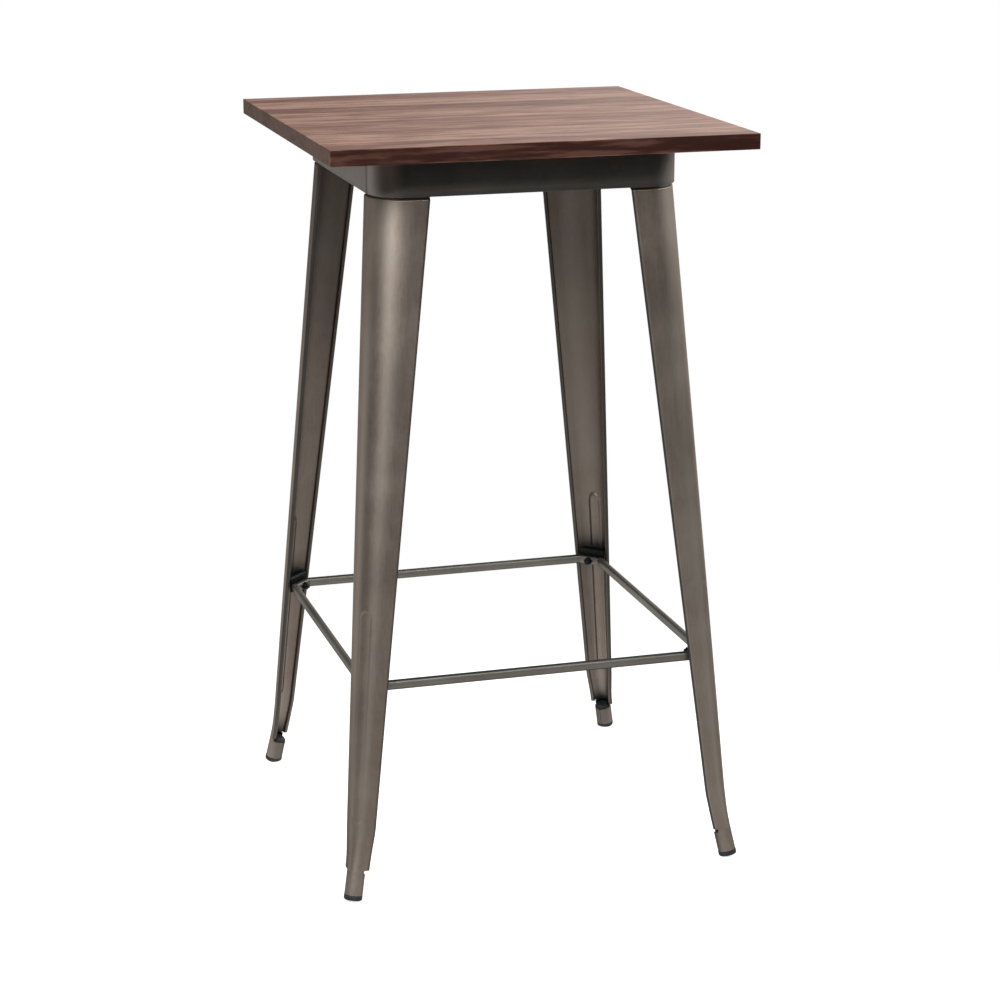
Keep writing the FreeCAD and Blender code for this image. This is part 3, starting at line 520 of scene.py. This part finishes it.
def legGrid(height, depth, share):    # share is how much of the bead shows on this face
    spots, facing, press, paintedShade, border = legHalf(height)
    slope, f = press * (1 - press), legPaintedLight
    if share == 1:
        # inside, painted shade about the bracket, at the foot and along the bead's sides
        near = np.maximum(f["bracket"] * hump(height, *f["bracketHeight"]),
                          f["foot"] * hump(height, *f["footHeight"]))
        about = np.interp(height, f["beadHeight"], f["bead"])[:, None]
        paintedShade = np.maximum(np.maximum(paintedShade, near[:, None]), about * slope)
    # a painted highlight on the upper end of the bead
    paintedLight = f["beadEnd"] * share - f["beadEndOutside"]
    paintedShade = paintedShade - paintedLight * slope * (height > legShape["beadHigh"])[:, None]
    half = spots - facing * (press * legShape["beadDepth"] * share + depth)[..., None]
    flat = np.concatenate([half[:, :0:-1, ::-1], half], axis=1)
    # one edge gets a painted highlight beside its roll and the other painted shade
    return (np.dstack([flat, np.broadcast_to(height[:, None], flat.shape[:2])]),
            -np.concatenate([(paintedShade - f["brightEdge"] * border)[:, :0:-1],
                             paintedShade + f["darkEdge"] * border], axis=1))


# The foot's tube: level circles about the leaning axis, half open at the notch and closed to a
# thin seam below it, cut square to the axis at its lower end.
footShape = {"spread": 284, "lean": 0.18947, "tilt": 15, "radius": 13.2, "wall": 1.5, "cap": 8.5,
             "openTo": 38, "closedFrom": 33, "seam": 1.5, "seamShade": 0.6, "seamShadeTurn": (70, 70)}


def tubeGrid(radius):    # with its painted light: painted shade towards the seam
    f, down = footShape, np.linspace(0, 1, 30)[:, None]
    turn = np.linspace(-1, 1, 73)[None, :]
    tilt = math.radians(f["tilt"])
    high = legShape["notch"]
    level = high + (f["cap"] - high) * down
    reach = 90 + (90 - f["seam"]) * smooth(
        (f["openTo"] - level) / (f["openTo"] - f["closedFrom"]))
    angle = np.radians(reach) * turn
    end = (f["cap"] + math.sin(tilt) * f["radius"] * np.cos(angle)) / (
        math.cos(tilt) + math.sin(tilt) * f["lean"] * math.sqrt(2))
    z = high + (end - high) * down
    centre = f["spread"] - f["lean"] * z
    return (joined(centre + radius * np.cos(angle + math.pi / 4),
                   centre + radius * np.sin(angle + math.pi / 4), z),
            -f["seamShade"] * rise(np.abs(np.degrees(angle)), *f["seamShadeTurn"]))


def makeLegs():
    height = np.concatenate([np.linspace(44, 72, 10), np.linspace(76, 104, 8),
                             np.linspace(109, 140, 22), np.linspace(152, 388, 16),
                             np.linspace(396, 424, 22), np.linspace(440, 976, 24),
                             np.linspace(979, 984, 11), np.linspace(988, 1018, 3)])
    outside, paintedOutside = legGrid(height, 0.0, legShape["outsideBead"])
    inside, paintedInside = legGrid(height, legShape["wall"], 1.0)
    tube, paintedTube = tubeGrid(footShape["radius"])
    bore, _ = tubeGrid(footShape["radius"] - footShape["wall"])
    # the inside of the foot's tube is painted fully in shade
    shapes = [wallShape(outside, inside, (paintedOutside, paintedInside)),
              wallShape(tube, bore, (paintedTube, -1.0))]
    for corner, angle in corners.items():
        # each leg is painted a little lighter or darker by height, save where painted shade is
        # deep
        moved = [(turned(points, angle), faces, paintedLight + np.clip(1 + 3 * paintedLight, 0, 1)
                  * np.interp(points[:, 2], legPaintedLight["heights"], legPaintedLight[corner]))
                 for points, faces, paintedLight in shapes]
        addPiece("pressed_leg_" + corner, moved, steelUpright,
                 ["leg_" + corner], 40)


makeLegs()
print("legs built")


# rubber feet: a profile turned about the socket's axis; what would be under the floor is pressed
# flat against it

rubberShape = {"lift": 1, "cap": 8.5, "plug": 35, "radius": 13.2, "plugRadius": 11.2, "edge": 2.0}


def makeFeet():
    tilt = math.radians(footShape["tilt"])
    r, p, low, cap = (rubberShape[key] for key in ("radius", "plugRadius", "lift", "cap"))
    edge, top = rubberShape["edge"], rubberShape["cap"] + rubberShape["plug"]
    bend = np.radians(np.linspace(0, 90, 7))
    along = np.concatenate([[low, low], low + edge * (1 - np.cos(bend)), [cap - 0.9, cap - 0.3],
                            [cap, cap, cap + 8, cap + 16, cap + 24], top - 5 + 5 * np.sin(bend)])
    radius = np.concatenate([[0, r * 0.5], r - edge + edge * np.sin(bend), [r, r - 0.25],
                             [r - 0.9, p, p, p - 0.1, p - 0.1], p - 5.1 + 5 * np.cos(bend)])
    along, radius = np.append(along, top), np.append(radius, 0)
    angle = np.linspace(0, 2 * math.pi, 64, endpoint=False)[None, :]
    grid = around(radius[:, None], angle, along[:, None])
    side = -math.sin(tilt) / math.sqrt(2)
    grid = placed(grid, (footShape["spread"], footShape["spread"], 0),
                  (side, side, math.cos(tilt)))
    grid[..., 2] = np.maximum(grid[..., 2], 0)
    for corner, angle in corners.items():
        addPiece("rubber_foot_shaped_" + corner, [roundShape(turned(grid, angle))], blackRubber,
                 ["rubber_foot_" + corner], 40)


makeFeet()
print("feet built")


# apron skirt: one profile carried round a square with round corners. A point of the path is an
# anchor on the inner square plus the corner radius, less the profile's depth, along its normal.
# In brackets: from where and over what a painted shade or highlight rises, or its middle and its
# width.

skirtShape = {"half": 222, "radius": 58, "low": 985, "high": 1042, "sheet": 1.2, "flange": 24,
              "hem": 10, "bend": 2.6, "easing": 0.3,
              "foldHeights": (0, 3, 10, 57), "fold": (-0.35, -0.2, 0.0, -0.1),
              "frontShade": 0.42, "front": (0.75, 0.25), "topShade": 0.25, "under": (8, 20),
              "right": (-0.9, 0.5), "beginShade": 0.55, "begin": (0.12, 0.06),
              "cornerHighlight": 0.3, "corner": (0.25, 0.25)}


def squarePath(half, radius, arcSteps, sideSteps):
    inner = half - radius
    arc = np.radians(np.linspace(0, 90, arcSteps + 1))
    normal = around(1, arc, 0)
    anchor = np.broadcast_to(np.array([inner, inner, 0.0]), normal.shape)
    run = np.linspace(inner, -inner, sideSteps + 2)[1:-1]
    normal = np.concatenate([normal, np.tile([0.0, 1.0, 0.0], (sideSteps, 1))])
    anchor = np.concatenate([anchor, joined(run, inner, 0)])
    return (np.concatenate([turned(anchor, 90 * k) for k in range(4)]),
            np.concatenate([turned(normal, 90 * k) for k in range(4)]))


def makeSkirt():
    t, bend, low, top, hem, flange, e = (
        skirtShape[key] for key in ("sheet", "bend", "low", "high", "hem", "flange", "easing"))
    quarter = np.radians(np.linspace(0, 90, 7))
    fold = np.radians(np.linspace(0, 180, 11))
    profile = np.concatenate([    # depth behind the outer face, height
        joined(bend - bend * np.cos(quarter), top - bend + bend * np.sin(quarter)),
        [[flange * 0.5, top], [flange - e, top], [flange, top - e], [flange, top - t + e],
         [flange - e, top - t], [flange * 0.5, top - t]],
        joined(bend - (bend - t) * np.sin(quarter), top - bend + (bend - t) * np.cos(quarter)),
        [[t, low + 34], [t, low + 18], [t, low + hem + 0.4], [t + e, low + hem],
         [2 * t - e, low + hem], [2 * t, low + hem - e], [2 * t, low + 5]],
        joined(t + t * np.cos(fold), low + t - t * np.sin(fold)),
        [[0, low + 8], [0, low + 20], [0, low + 34]]])
    anchor, normal = squarePath(skirtShape["half"], skirtShape["radius"], 24, 12)
    depth = skirtShape["radius"] - profile[None, :, 0, None]
    grid = anchor[:, None, :] + normal[:, None, :] * depth
    grid[..., 2] = profile[None, :, 1]
    # painted shade at the fold of the lower edge, on the front, where a corner begins and under
    # the top except on the left, and a painted highlight on the corners' middle
    f, up = skirtShape, profile[:, 1] - low
    paintedLight = np.interp(up, f["foldHeights"], f["fold"])[None, :]
    under = f["topShade"] * rise(up, *f["under"])[None, :]
    across, ahead = normal[:, :1], -normal[:, 1:2]
    bent = np.abs(across * ahead)
    begin = hump(bent, *f["begin"]) * (across ** 2 > 0.5)
    paintedLight = (paintedLight - f["frontShade"] * rise(ahead, *f["front"])
              - under * rise(across, *f["right"]) - f["beginShade"] * begin
              + f["cornerHighlight"] * rise(bent, *f["corner"]))
    addPiece("pressed_apron", [roundShape(grid, True, paintedLight)], apronSteel,
             ["apron_skirt"], 40)


makeSkirt()
print("apron built")


# footrest ring: a channel section carried along a straight run whose ends are mitred, so a point
# further in ends earlier. The outer faces are folded over soft corners and the lower edges are
# turned in by a narrow lip.

ringShape = {"top": 312, "depth": 13.5, "width": 10, "sheet": 1.2, "bend": 3.8, "lip": 4.2,
             "barFace": 257.5, "barHalf": 228.5, "cornerFace": 343.66, "cornerHalf": 20.5,
             # painted shade on each side's upper face, which differs with the light on each side
             "upper": {"back": 0.75, "left": -0.02, "front": 0.85, "right": 0.25},
             "cornerUpper": 0.65, "upperFrom": 0.4, "upperOver": 0.4, "bendHighlight": 0.1,
             "bendWidth": 0.2, "all": 0.1, "lower": 0.65, "lowerFrom": 0.1, "lowerOver": 0.6,
             "inside": 0.8}


def channelShape(faceAt, half, angle, upper):    # upper is how much painted shade lies on the upper face
    f = ringShape
    w, b = f["width"], f["bend"]
    low, high, lip = f["top"] - f["depth"], f["top"], f["lip"]
    quarter = np.radians(np.linspace(0, 90, 6))
    cos, sin = np.cos(quarter), np.sin(quarter)
    halfLine = np.concatenate([    # depth behind the outer face, height, and where it faces
        [[lip, low, 0, -1]],
        joined(b - b * sin, low + b - b * cos, -sin, -cos),
        joined(b - b * cos, high - b + b * sin, -cos, sin)])
    other = halfLine[::-1] * [-1, 1, -1, 1] + [w, 0, 0, 0]
    line = np.concatenate([halfLine, [[w / 2, high, 0, 1]], other])
    share = np.linspace(-1, 1, 9)[:, None]
    faces = []
    for offset in (0.0, f["sheet"]):
        depth = (line[:, 0] - line[:, 2] * offset)[None, :]
        height = (line[:, 1] - line[:, 3] * offset)[None, :]
        reach = half - depth * math.tan(math.radians(22.5))
        faces.append(turned(joined(faceAt - depth, reach * share, height), angle))
    # painted shade on the upper face, along the lower bend, a little all over and inside, and a
    # painted highlight on the upper bend, placed by the normals
    up = line[:, 3]
    paintedLight = (f["bendHighlight"] * hump(up, f["upperFrom"], f["bendWidth"])
              - upper * rise(up, f["upperFrom"], f["upperOver"])
              - f["all"] - f["lower"] * rise(-up, f["lowerFrom"], f["lowerOver"]))
    return wallShape(*faces, (paintedLight[None, :], -f["inside"]))


def makeRing():
    for side, angle in sides.items():
        material = ringAlongX if side in ("back", "front") else ringAlongY
        addPiece("folded_bar_" + side, [channelShape(
            ringShape["barFace"], ringShape["barHalf"], angle + 90, ringShape["upper"][side])],
            material, ["footrest_bar_" + side], 40)
    for corner, angle in corners.items():
        addPiece("folded_corner_" + corner, [channelShape(
            ringShape["cornerFace"], ringShape["cornerHalf"], angle + 45,
            ringShape["cornerUpper"])], ringAlongX,
            ["footrest_corner_" + corner], 40)


makeRing()
print("footrest ring built")


# brackets: a plate that stands behind the ring's corner, its upper end bent outwards to a shelf.
# The sheet is an L-shaped line carried across, and its half width follows the line.


def makeBrackets():
    f = bracketShape
    face, top, bend = f["face"], f["top"], f["bend"]
    quarter = np.radians(np.linspace(0, 90, 9))
    cos, sin = np.cos(quarter), np.sin(quarter)
    upright = np.linspace(f["low"], top - bend, 9)[:-1]
    shelf = np.linspace(face + bend, f["end"], 5)[1:]
    line = np.concatenate([
        joined(face, upright, -1, 0),
        joined(face + bend - bend * cos, top - bend + bend * sin, -cos, sin),
        joined(shelf, top, 0, 1)])
    height = line[:, 1]
    half = np.interp(height, [f["low"], top], [f["halfLow"], f["halfHigh"]])
    # the shelf narrows in a curve that keeps clear of the leg's round corner
    share = np.clip((line[:, 0] - face) / (f["end"] - face), 0, 1)
    half = half - (half - f["halfShelf"]) * share ** 2
    across = np.linspace(-1, 1, 13)[None, :]
    grids = []
    for offset in (0.0, f["sheet"]):
        out, z = (line[:, k, None] - line[:, k + 2, None] * offset for k in (0, 1))
        grids.append(joined(out, half[:, None] * across, z))
    points, faces, paintedLight = wallShape(*grids)
    for corner, angle in corners.items():
        addPiece("bent_bracket_" + corner, [(turned(points, angle + 45), faces, paintedLight)],
                 paintedShadeSteel, ["footrest_bracket_" + corner], 30)


makeBrackets()
print("brackets built")


# fasteners

# A six-sided block: the radius of its flats over the turn, cut at both ends by a cone so that the
# corners are chamfered, with a bore where there is one.
def hexShape(flats, height, bore=0.0):
    turn = np.linspace(0, 2 * math.pi, 72, endpoint=False)
    edge = flats / 2 / np.cos((turn + math.pi / 6) % (math.pi / 3) - math.pi / 6)
    rim = flats / 2 * 0.95
    fall = (edge - rim) * math.tan(math.radians(30))
    radius = joined(bore, rim, edge, edge, rim, bore).T
    level = joined(0, 0, fall, height - fall, height, height).T
    return roundShape(around(radius, turn, level), bore > 0)


# A threaded shank: its radius falls and rises once a pitch along a line that climbs as it turns.
def threadShape(radius, low, high, pitch):
    level = np.linspace(low, high, int((high - low) / pitch * 7) + 2)[:, None]
    turn = np.linspace(0, 2 * math.pi, 28, endpoint=False)[None, :]
    phase = (level / pitch - turn / (2 * math.pi)) % 1
    depth = 0.55 * pitch * np.abs(2 * phase - 1)
    depth = depth + 0.9 * (1 - smooth((high - level) / pitch)) * (radius * 0.1)
    grid = around(radius - depth, turn, level)
    poles = [np.broadcast_to([0.0, 0.0, z], (1, 28, 3)) for z in (low, high)]
    return roundShape(np.concatenate([poles[0], grid, poles[1]]))


def washerShape(outside, thickness, bore):
    turn = np.linspace(0, 2 * math.pi, 48, endpoint=False)[None, :]
    r, h, c = outside / 2, thickness, 0.25
    radius = np.array([bore, r - c, r, r, r - c, bore])[:, None]
    level = np.array([0, 0, c, h - c, h, h])[:, None]
    return roundShape(around(radius, turn, level), True)


# A pan head with a cross recess: a dome over the radius, pressed in where either arm of the cross
# passes and less so towards its ends.
def panHeadShape(diameter, height):
    turn = np.linspace(0, 2 * math.pi, 64, endpoint=False)[None, :]
    share = np.concatenate([[0], np.linspace(0.06, 1, 22)])[::-1][:, None]
    r = diameter / 2
    x, y = share * r * np.cos(turn), share * r * np.sin(turn)
    dome = height * (0.45 + 0.55 * np.sqrt(np.clip(1 - share ** 3, 0, 1)))
    arm = np.minimum(np.abs(x), np.abs(y))
    cross = (1 - smooth((arm - 0.45) / 0.25)) * np.clip(1 - share * 1.45, 0, 1)
    face = joined(x, y, dome - 1.8 * cross)
    foot = around(r, turn, 0)
    pole = np.zeros((1, 64, 3))
    return roundShape(np.concatenate([pole, foot, face]))


fastenerShape = {"legBolt": 8, "legFlats": 13, "legHead": 5.3, "legNut": 6.5, "legWasher": 16,
                 "legWasherSheet": 1.6, "legEnd": 3, "legPitch": 1.25, "near": 194.8, "far": 168.8,
                 "gussetTop": 1024, "capBottom": 1018,
                 "restBolt": 6, "restFlats": 10, "restHead": 4, "restNut": 5, "restWasher": 12,
                 "restWasherSheet": 1.2, "restEnd": 3, "restPitch": 1.0, "restHeight": 305.25,
                 "screwRow": 208, "screwStep": 130, "screwHead": 9, "screwHeadHeight": 2.5,
                 "screw": 4.5, "screwLength": 18, "screwPitch": 1.8,
                 "flangeBottom": 1040.8, "play": 0.05}


def spread(shapes, spots):    # each shape laid at every spot, a place and an axis
    return [(placed(points, place, axis), faces, paintedLight) for place, axis in spots
            for points, faces, paintedLight in shapes]


def addFasteners(where, node, material, bolts, washers, nuts):
    for name, kind, shapes in (("hex_bolts_", "bolts", bolts),
                               ("flat_washers_", "washers", washers),
                               ("hex_nuts_", "nuts", nuts)):
        addPiece(name + where, shapes, material, [node + kind], 25)


def makeLegBolts():
    f = fastenerShape
    up, down = (0, 0, 1), (0, 0, -1)
    spots = [(x * sx, y * sy) for x, y in ((f["near"], f["far"]), (f["far"], f["near"]))
             for sx in (1, -1) for sy in (1, -1)]
    seat = f["gussetTop"] + f["legWasherSheet"]
    end = f["capBottom"] - f["legNut"] - f["legEnd"]
    bore = f["legBolt"] / 2 + f["play"]
    heads = spread([hexShape(f["legFlats"], f["legHead"])], [((x, y, seat), up) for x, y in spots])
    shanks = spread([threadShape(f["legBolt"] / 2, 0.0, seat - end, f["legPitch"])],
                    [((x, y, seat), down) for x, y in spots])
    washers = spread([washerShape(f["legWasher"], f["legWasherSheet"], bore)],
                     [((x, y, f["gussetTop"]), up) for x, y in spots])
    nuts = spread([hexShape(f["legFlats"], f["legNut"], bore)],
                  [((x, y, f["capBottom"]), down) for x, y in spots])
    addFasteners("legs", "leg_", zincSteel, heads + shanks, washers, nuts)


def makeRingBolts():
    f = fastenerShape
    behind = bracketShape["face"] + bracketShape["sheet"]
    seat = ringShape["cornerFace"] - ringShape["width"]
    length = behind - (seat - f["restWasherSheet"] - f["restNut"] - f["restEnd"])
    spots = {key: [] for key in ("head", "shank", "washer", "nut")}
    for angle in corners.values():
        way = np.array([math.cos(math.radians(angle + 45)), math.sin(math.radians(angle + 45)), 0])
        at = np.array([0, 0, f["restHeight"]])
        spots["head"].append((at + way * behind, way))
        spots["shank"].append((at + way * behind, -way))
        spots["washer"].append((at + way * seat, -way))
        spots["nut"].append((at + way * (seat - f["restWasherSheet"]), -way))
    bore = f["restBolt"] / 2 + f["play"]
    heads = spread([hexShape(f["restFlats"], f["restHead"])], spots["head"])
    shanks = spread([threadShape(f["restBolt"] / 2, 0.0, length, f["restPitch"])], spots["shank"])
    washers = spread([washerShape(f["restWasher"], f["restWasherSheet"], bore)], spots["washer"])
    nuts = spread([hexShape(f["restFlats"], f["restNut"], bore)], spots["nut"])
    addFasteners("ring", "footrest_", blackZincSteel, heads + shanks, washers, nuts)


def makeScrews():
    f = fastenerShape
    steps = [k * f["screwStep"] for k in (-1, 0, 1)]
    row, low = f["screwRow"], f["flangeBottom"]
    places = [(x, y, low) for s in (row, -row) for t in steps for x, y in ((s, t), (t, s))]
    heads = spread([panHeadShape(f["screwHead"], f["screwHeadHeight"])],
                   [(place, (0, 0, -1)) for place in places])
    shanks = spread([threadShape(f["screw"] / 2, 0.0, f["screwLength"], f["screwPitch"])],
                    [(place, (0, 0, 1)) for place in places])
    addPiece("pan_screws", heads + shanks, zincSteel, ["wood_screws"], 30)


makeLegBolts()
makeRingBolts()
makeScrews()
for corner in corners:
    for plate in ("apron_gusset_", "leg_cap_"):
        nodes[plate + corner].material_slots[0].material = apronSteel
print("fasteners and plates built")


# studio: a pale floor, a white surround and soft lamps

studio = {"floorSize": 16, "drop": 0.0005, "floor": "#e6e6e4", "surround": 0.2, "clear": 0.72,
          "matt": (0.45, 1.2), "dim": 0.03, "ceiling": 0.9, "floorWhite": 1.0,
          "backSpan": (-0.08, 0.78), "ceilingSpan": (0.36, 0.64), "rightSpan": (0.19, 0.33),
          "wallWhite": (0.25, 1.0), "pool": 0.5, "poolEdge": (1.3, 2.8),
          "poolMiddle": (0.4, -0.2, 0),
          "lamps": [    # name, place, aim, width and height, watts
              ("overhead softbox", (1.5, 0.3, 2.3), (0, 0, 1.0), (1.6, 1.6), 21.5),
              ("front softbox", (0.2, -7.0, 5.4), (0, 0, 0.6), (5.0, 1.8), 180),
              ("right softbox", (3.2, -0.5, 2.2), (0.2, 0, 0.7), (1.2, 1.2), 26),
              ("left strip", (-2.1, -1.95, 2.45), (-0.2, -0.2, 0.85), (0.5, 0.9), 72)]}


# How bright the white studio is in a direction, for what metal and lacquer mirror: white at the
# back, dim in front where it is unlit, and pale high overhead.
def studioLevel(tree, way):
    parts = addNode(tree, "SeparateXYZ", {0: way}).outputs
    back = addNode(tree, "MapRange", {
        "Value": parts["Y"], **span("From", studio["backSpan"]),
        **span("To", (studio["dim"], studio["floorWhite"]))}, interpolation_type="SMOOTHSTEP")
    ceiling = addNode(tree, "MapRange", {
        "Value": parts["Z"], **span("From", studio["ceilingSpan"]),
        **span("To", (0.0, studio["ceiling"]))}, interpolation_type="SMOOTHSTEP")
    return addNode(tree, "Math", {0: back, 1: ceiling}, operation="MAXIMUM")


# Whether a ray comes from the camera or through something clear, and whether it was mirrored.
def rayKinds(tree):
    rays = addNode(tree, "LightPath", {}).outputs
    clear = addNode(tree, "Math", {
        0: rays["Is Camera Ray"], 1: rays["Is Transmission Ray"]}, operation="MAXIMUM")
    return clear, rays["Is Glossy Ray"]


def makeFloor():
    half = studio["floorSize"] / 2
    mesh = bpy.data.meshes.new("studio_floor")
    mesh.from_pydata([(x, y, -studio["drop"]) for x, y in (
        (-half, -half), (half, -half), (half, half), (-half, half))], [], [(0, 1, 2, 3)])
    material = bpy.data.materials.new("studio floor")
    tree = emptyTree(material)
    place = addNode(tree, "TexCoord", {}).outputs["Object"]
    distance = addNode(tree, "VectorMath", {0: place}, operation="LENGTH")
    far = addNode(tree, "MapRange", {
        "Value": distance.outputs["Value"], **span("From", studio["matt"])},
        interpolation_type="SMOOTHSTEP")
    clear, mirrored = rayKinds(tree)
    matt = addNode(tree, "BsdfDiffuse", {0: linear(studio["floor"])})
    glow = addNode(tree, "Emission", {1: studio["clear"]})
    near = addNode(tree, "AddShader", {0: matt, 1: glow})
    white = addNode(tree, "Emission", {1: 1.0})
    seen = addNode(tree, "MixShader", {0: far, 1: near, 2: white})
    lit = addNode(tree, "MixShader", {0: clear, 1: matt, 2: seen})
    way = addNode(tree, "VectorMath", {0: place}, operation="NORMALIZE")
    # a pool of light is painted into the floor about the table, seen only in reflections
    aside = addNode(tree, "VectorMath", {0: place, 1: studio["poolMiddle"]}, operation="DISTANCE")
    pool = addNode(tree, "MapRange", {
        "Value": aside.outputs["Value"], **span("From", studio["poolEdge"]),
        **span("To", (studio["pool"], 0.0))}, interpolation_type="SMOOTHSTEP")
    level = addNode(tree, "Math", {0: studioLevel(tree, way), 1: pool}, operation="MAXIMUM")
    shown = addNode(tree, "Emission", {1: level})
    mixed = addNode(tree, "MixShader", {0: mirrored, 1: lit, 2: shown})
    addNode(tree, "OutputMaterial", {0: mixed})
    mesh.materials.append(material)
    floor = newObject("studio_floor", mesh)


def makeSurround():    # white for the camera, dim for the light it gives
    world = bpy.data.worlds.new("studio surround")
    scene.world = world
    tree = emptyTree(world)
    way = addNode(tree, "TexCoord", {}).outputs["Generated"]
    clear, mirrored = rayKinds(tree)
    # the back wall is whiter to the right
    right = addNode(tree, "SeparateXYZ", {0: way}).outputs["X"]
    right = addNode(tree, "MapRange", {
        "Value": right, **span("From", studio["rightSpan"]), **span("To", studio["wallWhite"])})
    wall = addNode(tree, "Math", {0: studioLevel(tree, way), 1: right}, operation="MULTIPLY")
    strength = addNode(tree, "Mix", {0: mirrored, 2: studio["surround"], 3: wall})
    strength = addNode(tree, "Mix", {0: clear, 2: strength, 3: 1.0})
    sky = addNode(tree, "Background", {0: (1, 1, 1, 1), 1: strength})
    addNode(tree, "OutputWorld", {0: sky})


def makeLamps():
    for name, place, aim, size, watts in studio["lamps"]:
        data = bpy.data.lights.new(name, "AREA")
        data.shape = "RECTANGLE"
        data.size, data.size_y = size
        data.energy = watts
        lamp = newObject(name, data)
        lamp.location = place
        lamp.visible_camera = False
        lamp.rotation_euler = (Vector(aim) - Vector(place)).to_track_quat("-Z", "Y").to_euler()


makeFloor()
makeSurround()
makeLamps()
print("studio lit")
